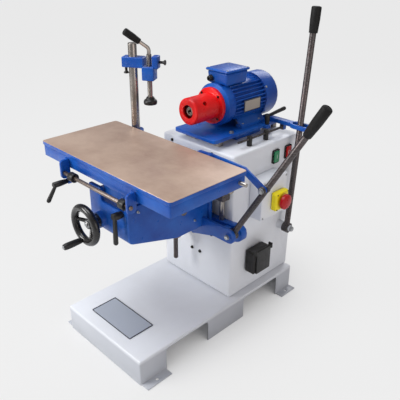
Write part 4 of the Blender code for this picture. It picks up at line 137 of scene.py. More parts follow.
class Finish:
    """A material's node tree, built a node at a time."""

    def __init__(self, name):
        self.material = bpy.data.materials.new(name)
        self.material.use_nodes = True
        self.tree = self.material.node_tree
        self.shader = self.tree.nodes["Principled BSDF"]
        self.place = self.node("ShaderNodeTexCoord").outputs["Object"]

    def node(self, kind, inputs=(), **settings):
        made = self.tree.nodes.new(kind)
        for key, value in settings.items():
            setattr(made, key, value)
        for key, value in dict(inputs).items():
            if isinstance(value, bpy.types.NodeSocket):
                self.tree.links.new(value, made.inputs[key])
            else:
                made.inputs[key].default_value = value
        return made

    def stretched(self, scale):
        return self.node("ShaderNodeMapping", {"Vector": self.place, "Scale": scale}).outputs["Vector"]

    def noise(self, scale, detail=3, roughness=0.5, place=None):
        inputs = {"Vector": place or self.place, "Scale": scale, "Detail": detail, "Roughness": roughness}
        return self.node("ShaderNodeTexNoise", inputs).outputs["Fac"]

    def spread(self, value, low, high, to_low=0.0, to_high=1.0):
        inputs = {"Value": value, "From Min": low, "From Max": high, "To Min": to_low, "To Max": to_high}
        return self.node("ShaderNodeMapRange", inputs).outputs["Result"]

    def mix(self, share, first, second):
        made = self.node("ShaderNodeMix", data_type="RGBA")
        for socket, value in ((made.inputs[0], share), (made.inputs[6], first), (made.inputs[7], second)):
            if isinstance(value, bpy.types.NodeSocket):
                self.tree.links.new(value, socket)
            else:
                socket.default_value = value
        return made.outputs[2]

    def times(self, first, second):
        return self.node("ShaderNodeMath", {0: first, 1: second}, operation="MULTIPLY").outputs[0]

    def plus(self, first, second):
        return self.node("ShaderNodeMath", {0: first, 1: second}, operation="ADD").outputs[0]

    def edges(self, radius, sharp):
        """High along edges: how far the rounded normal leans from the real one."""
        soft = self.node("ShaderNodeBevel", {"Radius": radius}, samples=6).outputs["Normal"]
        real = self.node("ShaderNodeNewGeometry").outputs["Normal"]
        dot = self.node("ShaderNodeVectorMath", {0: soft, 1: real}, operation="DOT_PRODUCT").outputs["Value"]
        return self.spread(dot, 1.0, sharp)

    def bump(self, heights):
        normal = None
        for height, distance, strength in heights:
            inputs = {"Height": height, "Distance": distance, "Strength": strength}
            if normal:
                inputs["Normal"] = normal
            normal = self.node("ShaderNodeBump", inputs).outputs["Normal"]
        return normal

    def done(self, colour, roughness, normal, **constants):
        for key, value in (("Base Color", colour), ("Roughness", roughness), ("Normal", normal)):
            if isinstance(value, bpy.types.NodeSocket):
                self.tree.links.new(value, self.shader.inputs[key])
            elif value is not None:
                self.shader.inputs[key].default_value = value
        for key, value in constants.items():
            self.shader.inputs[key.replace("_", " ")].default_value = value
        return self.material


def sheet_paint(name, pale, shade, painted_shade_top=None):
    """Powder coat on sheet metal: a fine orange peel, faint handling marks and grey rubbed edges. Given a
    height, painted shade darkens the coat below it.
    """
    f = Finish(name)
    clouds = f.spread(f.noise(5, 5, 0.6), 0.35, 0.7)
    colour = f.mix(f.times(clouds, 0.35), linear(pale), linear(shade))
    grime = f.spread(f.noise(38, 6, 0.7), 0.62, 0.86)
    colour = f.mix(f.times(grime, 0.18), colour, linear(BARE_METAL))
    # Painted shade: below the given height the coat is darkened towards a grey, standing in for the weaker
    # light on the plinth's skirt.
    if painted_shade_top:
        height = f.node("ShaderNodeSeparateXYZ", {0: f.place}).outputs["Z"]
        low = f.spread(height, painted_shade_top, painted_shade_top - 0.012)
        colour = f.mix(f.times(low, 0.75), colour, linear(SKIRT_PAINTED_SHADE))
    worn = f.times(f.edges(0.0016, 0.86), f.spread(f.noise(90, 4, 0.6), 0.5, 0.64))
    colour = f.mix(f.times(worn, 0.5), colour, linear(BARE_METAL))
    roughness = f.spread(f.noise(14, 4), 0.3, 0.7, 0.30, 0.42)
    normal = f.bump([(f.noise(620, 2, 0.4), 0.0002, 0.16), (f.noise(7, 2), 0.004, 0.06)])
    return f.done(colour, roughness, normal, Specular_IOR_Level=0.5, Coat_Weight=0.12, Coat_Roughness=0.2)


def cast_paint(name, lit, deep, grain, depth, gloss):
    """Brushed or sprayed paint over iron: mottled, chipped to metal at the edges, glossy."""
    f = Finish(name)
    clouds = f.spread(f.noise(9, 5, 0.6), 0.32, 0.7)
    colour = f.mix(clouds, linear(lit), linear(deep))
    dust = f.spread(f.noise(52, 6, 0.72), 0.6, 0.88)
    colour = f.mix(f.times(dust, 0.12), colour, linear(ZINC))
    chips = f.times(f.edges(0.0014, 0.84), f.spread(f.noise(130, 4, 0.65), 0.55, 0.62))
    colour = f.mix(f.times(chips, 0.55), colour, linear(BARE_METAL))
    roughness = f.spread(f.noise(22, 4), 0.3, 0.7, gloss, gloss + 0.14)
    normal = f.bump([(f.noise(grain, 3, 0.55), 0.0005, depth), (f.noise(26, 3), 0.002, 0.12)])
    return f.done(colour, roughness, normal, Specular_IOR_Level=0.32, Coat_Weight=0.06, Coat_Roughness=0.14)


def ground_plate(name):
    """A surface-ground steel table under a film of oil: fine parallel marks and brown blotches."""
    f = Finish(name)
    marks = f.noise(60, 6, 0.7, f.stretched((0.35, 26, 26)))
    fine = f.noise(240, 3, 0.6, f.stretched((0.12, 18, 18)))
    blotch = f.spread(f.noise(7, 6, 0.62), 0.36, 0.68)
    colour = f.mix(blotch, linear(GROUND_TAN), linear(GROUND_BROWN))
    colour = f.mix(f.times(f.spread(marks, 0.35, 0.68), 0.3), colour, linear(GROUND_PALE))
    stain = f.spread(f.noise(19, 7, 0.75), 0.62, 0.8)
    colour = f.mix(f.times(stain, 0.35), colour, linear(STAIN_BROWN))
    roughness = f.plus(f.spread(marks, 0.3, 0.7, 0.26, 0.38), f.times(blotch, 0.07))
    normal = f.bump([(fine, 0.0001, 0.22), (marks, 0.0002, 0.12)])
    return f.done(colour, roughness, normal, Metallic=0.3, Specular_IOR_Level=0.4, Anisotropic=0.35)


def bar_steel(name, light, dark, rough, direction):
    """Drawn or turned steel: marks across its length, dull blotches of oil."""
    f = Finish(name)
    scales = {"x": (24, 0.6, 0.6), "y": (0.6, 24, 0.6), "z": (0.6, 0.6, 24)}
    marks = f.noise(110, 5, 0.65, f.stretched(scales[direction]))
    blotch = f.spread(f.noise(16, 5, 0.6), 0.35, 0.7)
    colour = f.mix(blotch, linear(light), linear(dark))
    colour = f.mix(f.times(f.spread(marks, 0.4, 0.7), 0.35), colour, linear(ZINC))
    roughness = f.plus(f.spread(marks, 0.3, 0.7, rough, rough + 0.1), f.times(blotch, 0.08))
    normal = f.bump([(marks, 0.0002, 0.14)])
    return f.done(colour, roughness, normal, Metallic=0.9, Specular_IOR_Level=0.5)


def moulded(name, plain, worn, rough, grain, depth, gloss=0.0, shine=0.4):
    """Moulded plastic: a fine spark grain and handling shine, paler where hands rub its edges."""
    f = Finish(name)
    rub = f.spread(f.noise(34, 5, 0.6), 0.4, 0.74)
    colour = f.mix(f.times(rub, 0.6), linear(plain), linear(worn))
    edge = f.times(f.edges(0.0012, 0.8), 0.35)
    colour = f.mix(edge, colour, linear(worn))
    roughness = f.spread(f.noise(60, 4), 0.3, 0.7, rough, rough + 0.14)
    normal = f.bump([(f.noise(grain, 2, 0.5), 0.0002, depth)])
    return f.done(colour, roughness, normal, Specular_IOR_Level=shine, Coat_Weight=gloss, Coat_Roughness=0.08)


def zinc_plate(name, light, dark):
    """Zinc-plated fastener: spangled, each spangle darker towards its edges."""
    f = Finish(name)
    cells = f.node("ShaderNodeTexVoronoi", {"Vector": f.place, "Scale": 420}).outputs["Distance"]
    colour = f.mix(f.spread(cells, 0.1, 0.7), linear(light), linear(dark))
    roughness = f.spread(f.noise(180, 3), 0.3, 0.7, 0.24, 0.4)
    normal = f.bump([(f.noise(500, 2), 0.0001, 0.2)])
    return f.done(colour, roughness, normal, Metallic=0.95)


def plate_print(name, colour_bytes, rough):
    """A thin aluminium plate with nothing on it: brushed along its length."""
    f = Finish(name)
    marks = f.noise(160, 5, 0.7, f.stretched((0.5, 14, 14)))
    colour = f.mix(f.times(f.spread(marks, 0.35, 0.7), 0.3), linear(colour_bytes), linear(ZINC))
    roughness = f.spread(marks, 0.3, 0.7, rough, rough + 0.12)
    normal = f.bump([(marks, 0.0001, 0.18)])
    return f.done(colour, roughness, normal, Metallic=0.35)


LOOK = {
    "white_paint": sheet_paint("white powder coat", SHEET_WHITE, SHEET_SHADE),
    # The plinth's coat carries painted shade on its skirt.
    "plinth_coat_painted_shade": sheet_paint("plinth powder coat with painted skirt shade", SHEET_WHITE, SHEET_SHADE, SKIRT_TOP),
    "blue_paint": cast_paint("blue machine paint", CAST_BLUE, CAST_BLUE_DEEP, 330, 0.30, 0.26),
    "red_paint": cast_paint("red guard paint", GUARD_RED, GUARD_RED_DEEP, 420, 0.22, 0.24),
    "ground_steel": ground_plate("ground table steel"),
    "steel_x": bar_steel("bright bar lying across", BAR_STEEL, BAR_STEEL_DARK, 0.2, "x"),
    "steel_y": bar_steel("turned steel", BAR_STEEL, BAR_STEEL_DARK, 0.24, "y"),
    "steel_z": bar_steel("upright bright bar", BAR_STEEL, BAR_STEEL_DARK, 0.2, "z"),
    "brown_rod": bar_steel("brown oiled rod", ROD_BROWN, ROD_BROWN_DARK, 0.3, "x"),
    "dark_steel": bar_steel("oiled lever steel", OILED_STEEL, OILED_STEEL_DARK, 0.34, "z"),
    "bronze": bar_steel("machined bronze", BRONZE, BRONZE_DARK, 0.3, "z"),
    "black_plastic": moulded("black moulding", MOULDED_BLACK, MOULDED_BLACK_WORN, 0.34, 900, 0.2),
    "wheel_black": moulded("glossy handwheel", MOULDED_BLACK, MOULDED_BLACK_WORN, 0.22, 700, 0.08, 0.25),
    "black_rubber": moulded("soft grip", GRIP_BLACK, GRIP_BLACK_WORN, 0.5, 700, 0.35, 0.0, 0.22),
    "yellow_plastic": moulded("yellow moulding", STOP_YELLOW, STOP_YELLOW_WORN, 0.34, 900, 0.14, 0.1),
    "red_plastic": moulded("red button moulding", BUTTON_RED, BUTTON_RED_WORN, 0.24, 900, 0.06, 0.12, 0.3),
    "green_plastic": moulded("green button moulding", BUTTON_GREEN, BUTTON_GREEN_WORN, 0.24, 900, 0.06, 0.4),
    "zinc": zinc_plate("zinc plating", ZINC, ZINC_DARK),
    "black_zinc": zinc_plate("blackened fastener", BLACK_ZINC, BLACK_ZINC_DARK),
    "plate_grey": plate_print("bare grey plate", PLATE_GREY, 0.36),
    "plate_tan": plate_print("bare rating plate", PLATE_TAN, 0.34),
    "line_dark": moulded("dark printed edge", LINE_DARK, LINE_DARK_WORN, 0.4, 800, 0.1),
    "mark_white": moulded("white mark", MARK_WHITE, MARK_WHITE_WORN, 0.4, 800, 0.1),
}

# Making pieces


def only(obj):
    bpy.ops.object.select_all(action="DESELECT")
    obj.select_set(True)
    bpy.context.view_layer.objects.active = obj


def settle(obj):
    """Puts the object's place into its mesh."""
    only(obj)
    bpy.ops.object.transform_apply(location=True, rotation=True, scale=True)


def apply_all(obj):
    only(obj)
    for modifier in list(obj.modifiers):
        bpy.ops.object.modifier_apply(modifier=modifier.name)


def smooth(obj, degrees=38):
    only(obj)
    bpy.ops.object.shade_smooth_by_angle(angle=math.radians(degrees))


def pick(obj, test, kind="faces"):
    """Edit mode with the faces, edges or vertices that pass the test selected."""
    only(obj)
    bpy.ops.object.mode_set(mode="EDIT")
    bpy.ops.mesh.select_mode(type={"faces": "FACE", "edges": "EDGE", "verts": "VERT"}[kind])
    bpy.ops.mesh.select_all(action="DESELECT")
    mesh = bmesh.from_edit_mesh(obj.data)
    for item in getattr(mesh, kind):
        if test(item):
            item.select_set(True)
    mesh.select_flush(True)
    bmesh.update_edit_mesh(obj.data)


def leave():
    bpy.ops.object.mode_set(mode="OBJECT")


def rounding(obj, width, segments=2, degrees=30):
    made = obj.modifiers.new("rounding", "BEVEL")
    made.width = width
    made.segments = segments
    made.limit_method = "ANGLE"
    made.angle_limit = math.radians(degrees)
    made.use_clamp_overlap = True
    apply_all(obj)


def carved(obj, cutter):
    made = obj.modifiers.new("carved", "BOOLEAN")
    made.operation = "DIFFERENCE"
    made.object = cutter
    apply_all(obj)
    bpy.data.objects.remove(cutter)


def cylinder(radius, depth, sides, name="piece"):
    """Standing on the origin, along +Z."""
    bpy.ops.object.select_all(action="DESELECT")
    bpy.ops.mesh.primitive_cylinder_add(
        vertices=sides, radius=radius, depth=depth, location=(0, 0, depth / 2)
    )
    obj = bpy.context.object
    obj.name = name
    settle(obj)
    return obj


def box(low, high, name="piece"):
    bpy.ops.object.select_all(action="DESELECT")
    low, high = Vector(low), Vector(high)
    bpy.ops.mesh.primitive_cube_add(size=1, location=(low + high) / 2)
    obj = bpy.context.object
    obj.scale = high - low
    obj.name = name
    settle(obj)
    return obj


def turn_to(direction, spin=0.0):
    """The rotation that takes +Z to the direction, spun about it first."""
    turn = Vector(direction).normalized().to_track_quat("Z", "Y").to_matrix().to_4x4()
    return turn @ Matrix.Rotation(spin, 4, "Z")


def put(obj, place, direction=Z, spin=0.0):
    obj.matrix_world = Matrix.Translation(Vector(place)) @ turn_to(direction, spin)
    settle(obj)
    return obj


def dress(obj, look, body, name=None):
    if name:
        obj.name = name
    if not obj.data.materials:
        obj.data.materials.append(LOOK[look])
    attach(obj, body)
    return obj


def copy_of(pattern, name):
    made = pattern.copy()
    made.data = pattern.data.copy()
    made.name = name
    bpy.context.scene.collection.objects.link(made)
    return made


def lathe(profile, name, steps=64):
    """A closed outline of (radius, height) points, spun once round Z."""
    mesh = bpy.data.meshes.new(name)
    points = [(r, 0, h) for r, h in profile]
    edges = [(i, i + 1) for i in range(len(points) - 1)]
    mesh.from_pydata(points, edges, [])
    obj = bpy.data.objects.new(name, mesh)
    bpy.context.scene.collection.objects.link(obj)
    pick(obj, lambda item: True, "verts")
    bpy.ops.mesh.spin(steps=steps, angle=2 * math.pi, center=(0, 0, 0), axis=(0, 0, 1))
    bpy.ops.mesh.select_all(action="SELECT")
    bpy.ops.mesh.remove_doubles(threshold=0.00002)
    bpy.ops.mesh.normals_make_consistent(inside=False)
    leave()
    return obj


def body_of_node(node):
    for name, body in frame["bodies"].items():
        if frame["nodes"][node].parent == body:
            return name
    return body_of(frame["nodes"][node])[0]


def redone(node, look, rounding_width=0.0, segments=2, degrees=38):
    """A CAD node's own form, merged, with its edges rounded and its round faces shaded smooth."""
    source = frame["nodes"][node]
    obj = copy_of(source, node + "_finished")
    obj.parent = None
    obj.matrix_world = Matrix.Identity(4)
    for key in list(obj.keys()):
        if key.startswith("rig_"):
            del obj[key]
    obj.data.materials.clear()
    pick(obj, lambda face: True)
    bpy.ops.mesh.remove_doubles(threshold=0.00001)
    bpy.ops.mesh.dissolve_limited(angle_limit=math.radians(0.5))
    leave()
    if rounding_width:
        rounding(obj, rounding_width, segments)
    smooth(obj, degrees)
    dress(obj, look, body_of_node(node))
    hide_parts(node)
    return obj


def respun(node, look, direction=Z, near=-90, rounding_width=0.0, steps=72):
    """A turned CAD node spun again, with more steps, from its own outline at one station round its axis."""
    source = frame["nodes"][node]
    corners = [source.matrix_world @ Vector(corner) for corner in source.bound_box]
    middle = sum(corners, Vector()) / len(corners)
    home = Matrix.Translation(middle) @ turn_to(direction)
    local = [home.inverted() @ (source.matrix_world @ vertex.co) for vertex in source.data.vertices]
    keys = [(round(math.hypot(p.x, p.y), 5), round(p.z, 5)) for p in local]
    most = max(key[0] for key in keys)
    wanted = math.radians(near)
    stations = [math.atan2(p.y, p.x) for p, key in zip(local, keys) if key[0] > most - 0.0001]
    station = min(stations, key=lambda angle: 1 - math.cos(angle - wanted))
    chosen = [
        key[0] < 0.0001 or math.cos(math.atan2(p.y, p.x) - station) > 0.9998 for p, key in zip(local, keys)
    ]
    links = {}
    for edge in source.data.edges:
        first, second = edge.vertices
        if chosen[first] and chosen[second] and keys[first] != keys[second]:
            links.setdefault(keys[first], set()).add(keys[second])
            links.setdefault(keys[second], set()).add(keys[first])
    ends = [key for key, others in links.items() if len(others) == 1]
    walk = [max(ends, key=lambda key: key[1]) if ends else max(links)]
    while True:
        ahead_of = [key for key in sorted(links[walk[-1]]) if key not in walk]
        if not ahead_of:
            break
        walk.append(ahead_of[0])
    if ends:
        walk = [(0, walk[0][1])] * (walk[0][0] > 0) + walk + [(0, walk[-1][1])] * (walk[-1][0] > 0)
    else:
        walk.append(walk[0])
    made = lathe(walk, node + "_finished", steps)
    if rounding_width:
        rounding(made, rounding_width, 2)
    made.matrix_world = home
    settle(made)
    smooth(made, 30)
    dress(made, look, body_of_node(node))
    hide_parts(node)
    return made


# The CAD forms, finished

NODE_LOOK = {
    "base_plinth": ("plinth_coat_painted_shade", 0.0008),
    "column_cabinet": ("white_paint", 0.0008),
    "rear_cover": ("white_paint", 0.0006),
    "switch_enclosure": ("white_paint", 0.0012),
    "way_bearing": ("dark_steel", 0.0008),
    "elevating_nut": ("bronze", 0.0005),
    "slide_rail_left": ("steel_y", 0.0004),
    "slide_rail_right": ("steel_y", 0.0004),
    "stop_post_front": ("black_plastic", 0.0006),
    "stop_post_rear": ("black_plastic", 0.0006),
    "stop_box": ("yellow_plastic", 0.0012),
    "inlet_box": ("black_plastic", 0.0010),
    "knee_casting": ("blue_paint", 0.0012),
    "lever_arm": ("blue_paint", 0.0012),
    "guide_bearing_front": ("blue_paint", 0.0010),
    "guide_bearing_rear": ("blue_paint", 0.0010),
    "table_top": ("ground_steel", 0.0006),
    "table_frame": ("blue_paint", 0.0012),
    "stop_bracket_left": ("blue_paint", 0.0008),
    "stop_bracket_right": ("blue_paint", 0.0008),
    "stop_lock_lever": ("black_plastic", 0.0),
    "travel_lock_lever": ("black_plastic", 0.0),
    "slide_lock_lever": ("black_plastic", 0.0),
    "clamp_arm": ("blue_paint", 0.0008),
    "arm_lock_knob": ("black_plastic", 0.0),
    "guide_lock_knob": ("black_plastic", 0.0),
    "clamp_crank": ("steel_z", 0.0),
    "crank_sleeve": ("black_rubber", 0.0),
    "table_lever": ("dark_steel", 0.0),
    "table_strap": ("blue_paint", 0.0006),
    "motor_plate": ("blue_paint", 0.0010),
    "cross_bar": ("blue_paint", 0.0006),
    "motor_housing": ("blue_paint", 0.0),
    "terminal_box": ("blue_paint", 0.0010),
    "terminal_lid": ("blue_paint", 0.0014),
    "fan_cowl": ("blue_paint", 0.0),
    "drill_chuck": ("steel_y", 0.0003),
    "cooling_fan": ("black_plastic", 0.0),
    "motor_lever": ("dark_steel", 0.0),
    "green_button": ("green_plastic", 0.0008),
    "red_button": ("red_plastic", 0.0008),
    "inlet_flap": ("black_plastic", 0.0006),
}
FINISHED = {node: redone(node, look, width) for node, (look, width) in NODE_LOOK.items()}

TABLE_LEVER_TOP_X = 0.506
TABLE_LEVER_TOP_Z = 0.882
LEVER_WAY = Vector((
    TABLE_LEVER_TOP_X - TABLE_LEVER_FOOT_X, 0, TABLE_LEVER_TOP_Z - TABLE_LEVER_FOOT_Z,
)).normalized()
MOTOR_LEVER_LEAN = math.radians(3.8)
MOTOR_LEVER_WAY = Vector((0, math.sin(MOTOR_LEVER_LEAN), math.cos(MOTOR_LEVER_LEAN)))
TURNED = {
    "way_bar_left": ("steel_z", Z, 0.0006),
    "way_bar_right": ("steel_z", Z, 0.0006),
    "crank_grip": ("black_plastic", Y, 0.0012),
    "elevating_screw": ("dark_steel", Z, 0.0004),
    # Painted shade: the front guide rod wears the dark oiled steel, not the bright bar of the rear rod,
    # standing in for the shade under the table.
    "guide_rod_front": ("dark_steel", X, 0.0008),
    "guide_rod_rear": ("steel_x", X, 0.0008),
    "stop_rod": ("brown_rod", X, 0.0006),
    "stop_collar_left": ("black_plastic", X, 0.0008),
    "stop_collar_right": ("black_plastic", X, 0.0008),
    "clamp_post": ("steel_z", Z, 0.0006),
    "clamp_pad": ("black_plastic", Z, 0.0010),
    "table_lever_grip": ("black_rubber", LEVER_WAY, 0.0010),
    "motor_lever_grip": ("black_rubber", MOTOR_LEVER_WAY, 0.0010),
    "stop_mushroom": ("red_plastic", X, 0.0010),
    "chuck_guard": ("red_paint", Y, 0.0008),
    "handwheel_shaft": ("steel_y", Y, 0.0),
    "rotor_shaft": ("steel_y", Y, 0.0),
}
for node, (look, direction, width) in TURNED.items():
    FINISHED[node] = respun(node, look, direction, rounding_width=width)


def retouched(obj, look, test):
    """A second look on the faces that pass the test."""
    obj.data.materials.append(LOOK[look])
    pick(obj, test)
    obj.active_material_index = len(obj.data.materials) - 1
    bpy.ops.object.material_slot_assign()
    leave()


def within(low, high):
    """A test for faces whose middle lies in a box."""
    def test(face):
        middle = face.calc_center_median()
        return all(a <= b <= c for a, b, c in zip(low, middle, high))
    return test


retouched(FINISHED["table_top"], "blue_paint", lambda face: face.normal.z < 0.3)
retouched(FINISHED["table_frame"], "steel_x", within((0.3203, 0.270, 0.643), (0.36, 0.286, 0.659)))
retouched(FINISHED["cross_bar"], "dark_steel", within((0.130, 0.3, 0.6595), (0.142, 0.8, 0.6685)))

KEY_HOLE_ANGLE = math.radians(38)
key_way = Vector((math.cos(KEY_HOLE_ANGLE), 0, math.sin(KEY_HOLE_ANGLE)))
KEY_HOLE_RADIUS = 0.0078
key_hole = cylinder(KEY_HOLE_RADIUS, 0.030, 40, "key_hole")
put(key_hole, Vector((0, 0.430, MOTOR_AXIS_HEIGHT)) + key_way * 0.026, key_way)
carved(FINISHED["chuck_guard"], key_hole)
smooth(FINISHED["chuck_guard"], 30)

PIVOT_BORE_RADIUS = 0.0077
pivot_bore = cylinder(PIVOT_BORE_RADIUS, 0.040, 48, "pivot_bore")
put(pivot_bore, (0.187, MOTOR_LEVER_PIVOT_Y, MOTOR_LEVER_PIVOT_Z), X)
carved(FINISHED["motor_lever"], pivot_bore)
smooth(FINISHED["motor_lever"], 36)

# Handwheel

WHEEL = Vector((-0.037, 0, 0.481))
RIM_MIDDLE = 0.055
RIM_THICK = 0.012
FIRST_SPOKE_DEGREES = 55
SPOKE_STEP_DEGREES = 120
CRANK_DEGREES = -104
bpy.ops.object.select_all(action="DESELECT")
bpy.ops.mesh.primitive_torus_add(
    major_radius=RIM_MIDDLE, minor_radius=RIM_THICK, major_segments=96, minor_segments=24
)
wheel_rim = bpy.context.object
wheel_rim.name = "wheel_rim"
put(wheel_rim, WHEEL, Y)
hub_outline = [(0.0083, 0.0437), (0.021, 0.0437), (0.021, 0.034), (0.0202, 0.0335), (0.0202, 0.0325)]
hub_outline += [(0.021, 0.032), (0.021, 0.0306), (0.0204, 0.030), (0.016, 0.030), (0.016, 0.0072)]
hub_outline += [(0.0148, 0.006), (0.0083, 0.006), (0.0083, 0.0437)]
hub = lathe(hub_outline, "wheel_hub", 64)
put(hub, WHEEL, Y)
parts = [wheel_rim, hub]
for index in range(3):
    angle = math.radians(FIRST_SPOKE_DEGREES + SPOKE_STEP_DEGREES * index)
    way = Vector((math.cos(angle), 0, math.sin(angle)))
    start = WHEEL + way * 0.012 + Y * 0.020
    finish = WHEEL + way * (RIM_MIDDLE - 0.004)
    span = (finish - start).length
    spoke = lathe([(0, 0), (0.0068, 0), (0.0054, span), (0, span)], "spoke", 28)
    put(spoke, start, finish - start)
    parts.append(spoke)
only(wheel_rim)
for part in parts:
    part.select_set(True)
bpy.context.view_layer.objects.active = wheel_rim
bpy.ops.object.join()
smooth(wheel_rim, 36)
dress(wheel_rim, "wheel_black", body_of_node("handwheel"))
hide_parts("handwheel")
cap_outline = [(0, 0), (0.011, 0), (0.011, 0.0012), (0.0075, 0.0016)]
cap_outline += [(0.0068, 0.0046), (0.004, 0.0066), (0, 0.0072)]
hub_cap = lathe(cap_outline, "wheel_hub_nut", 48)
put(hub_cap, WHEEL + Y * 0.006, -Y)
smooth(hub_cap, 40)
dress(hub_cap, "zinc", body_of_node("handwheel"))
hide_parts("handwheel")
crank_angle = math.radians(CRANK_DEGREES)
pin_outline = [(0, 0), (0.004, 0), (0.004, 0.0731), (0.006, 0.0731)]
pin_outline += [(0.006, 0.0748), (0.0048, 0.0758), (0, 0.0761)]
crank_pin = lathe(pin_outline, "crank_pin", 40)
put(crank_pin, WHEEL + RIM_MIDDLE * Vector((math.cos(crank_angle), 0, math.sin(crank_angle))), -Y)
smooth(crank_pin, 40)
dress(crank_pin, "zinc", body_of_node("handwheel"))
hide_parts("handwheel")

# Threads


THREAD_CREST = 0.0004
THREAD_ROOT = 0.0003
THREAD_WALL = 0.0008


def thread_sleeve(radius, low, high, pitch, place, look, node, name):
    """A sleeve of thread crests over a CAD screw: rings, not a helix."""
    wall, root, crest = radius - THREAD_WALL, radius - THREAD_ROOT, radius + THREAD_CREST
    outline = [(wall, low)]
    height = low
    while height < high - pitch:
        outline += [(root, height), (crest, height + pitch * 0.4), (crest, height + pitch * 0.6)]
        height += pitch
    outline += [(root, height), (wall, height), (wall, low)]
    made = lathe(outline, name, 36)
    put(made, place)
    smooth(made, 20)
    return dress(made, look, body_of_node(node))


thread_sleeve(
    0.008, 0.2065, 0.412, 0.004, (-0.037, 0.362, 0), "dark_steel", "elevating_screw", "elevating_thread"
)
thread_sleeve(
    0.008, 0.787, 0.921, 0.003, (-0.14286, 0.35433, 0), "steel_z", "clamp_crank", "spindle_thread"
)

# Fasteners


def hex_bolt(size, name="hex_bolt"):
    """A hexagon head on its washer, standing on the origin. Its size is the thread's diameter."""
    washer = cylinder(size * 1.05, size * 0.16, 32, name)
    pick(washer, lambda face: face.normal.z > 0.9)
    bpy.ops.mesh.inset(thickness=size * 0.06, depth=0)
    bpy.ops.mesh.extrude_region_move(TRANSFORM_OT_translate={"value": (0, 0, 0)})
    leave()
    rounding(washer, size * 0.03, 1)
    head = cylinder(size * 0.95, size * 0.64, 6, "head")
    put(head, (0, 0, size * 0.13))
    rounding(head, size * 0.05, 1, 25)
    pick(head, lambda face: face.normal.z > 0.9)
    bpy.ops.mesh.inset(thickness=size * 0.12, depth=size * 0.06)
    leave()
    only(washer)
    head.select_set(True)
    bpy.ops.object.join()
    smooth(washer, 30)
    return washer


def socket_screw(size, name="socket_screw"):
    """A cylinder head with its hexagon socket, standing on the origin."""
    head = cylinder(size * 0.78, size * 0.62, 32, name)
    socket = cylinder(size * 0.44, size, 6, "socket")
    put(socket, (0, 0, size * 0.26))
    carved(head, socket)
    rounding(head, size * 0.05, 2, 50)
    smooth(head, 30)
    return head


def cross_screw(size, name="cross_screw"):
    """A domed head with a slot, standing on the origin."""
    profile = [(0, 0), (size * 0.95, 0), (size * 0.95, size * 0.12), (size * 0.8, size * 0.34)]
    profile += [(size * 0.45, size * 0.46), (0, size * 0.5)]
    head = lathe(profile, name, 28)
    slot = box((-size, -size * 0.11, size * 0.26), (size, size * 0.11, size), "slot")
    carved(head, slot)
    smooth(head, 35)
    return head


def place_all(pattern, look, body, name, spots):
    """Copies of the pattern at each (place, direction), each turned a little differently."""
    for index, (place, direction) in enumerate(spots):
        made = copy_of(pattern, f"{name}_{index + 1}")
        put(made, place, direction, spin=0.37 + 0.71 * index)
        dress(made, look, body)
    bpy.data.objects.remove(pattern)


PLINTH_TOP = 0.0950
COLUMN_FRONT = 0.4270
COLUMN_RIGHT = 0.1700
COLUMN_BACK = 0.7610

place_all(hex_bolt(0.006), "black_zinc", "root", "nut_plate_bolt", [
    ((-0.018, COLUMN_FRONT, 0.2296), -Y),
    ((0.022, COLUMN_FRONT, 0.2296), -Y),
])
place_all(socket_screw(0.008), "black_zinc", "root", "way_bearing_screw", [
    ((x, 0.3927, z), -Y) for x in (-0.098, -0.072, 0.072, 0.098) for z in (0.498, 0.521)
])
place_all(hex_bolt(0.0055), "black_zinc", "root", "rail_foot_bolt", [
    ((0.0723, COLUMN_FRONT, 0.6228), -Y),
    ((0.1039, COLUMN_FRONT, 0.6179), -Y),
    ((-0.1189, COLUMN_FRONT, 0.6217), -Y),
])
place_all(socket_screw(0.009), "black_zinc", "root", "column_front_screw", [
    ((0.076, COLUMN_FRONT + 0.0035, 0.3225), -Y),
    ((0.128, COLUMN_FRONT + 0.0035, 0.3380), -Y),
])
place_all(hex_bolt(0.0080), "zinc", body_of_node("motor_plate"), "motor_plate_bolt", [
    ((side * 0.078, 0.512, 0.6753), Z) for side in (-1, 1)
])
nipple_outline = [(0, 0), (0.0042, 0), (0.0042, 0.0022), (0.0022, 0.0030), (0.0018, 0.0050), (0.0026, 0.0062)]
nipple_outline += [(0.0022, 0.0076), (0, 0.0082)]
nipple = lathe(nipple_outline, "grease_nipple", 28)
smooth(nipple, 40)
place_all(nipple, "zinc", body_of_node("knee_casting"), "grease_nipple", [
    ((0.095, 0.096, 0.5406), X),
    ((0.095, 0.326, 0.4252), X),
])
place_all(hex_bolt(0.0085), "zinc", body_of_node("table_lever"), "lever_bolt_head", [
    ((0.33933, 0.3527, 0.6059), -Y),
])
place_all(hex_bolt(0.0085), "zinc", body_of_node("lever_arm"), "arm_pivot_head", [
    ((TABLE_LEVER_FOOT_X, 0.3547, TABLE_LEVER_FOOT_Z), -Y),
])
place_all(hex_bolt(0.0100), "zinc", "root", "motor_pivot_head", [
    ((0.2255, MOTOR_LEVER_PIVOT_Y, MOTOR_LEVER_PIVOT_Z), X),
])
place_all(hex_bolt(0.0070), "zinc", body_of_node("motor_housing"), "motor_foot_bolt", [
    ((side * 0.0645, y, 0.6856), Z) for side in (-1, 1) for y in (0.580, 0.664)
])
GUARD_FACE = 0.4877
GUARD_SCREW_CIRCLE = 0.0525
COWL_RADIUS = 0.0788
place_all(socket_screw(0.005), "black_zinc", body_of_node("motor_housing"), "guard_screw", [
    ((GUARD_SCREW_CIRCLE * math.cos(angle), GUARD_FACE,
      MOTOR_AXIS_HEIGHT + GUARD_SCREW_CIRCLE * math.sin(angle)), -Y)
    for angle in (math.radians(45 + 90 * index) for index in range(4))
])
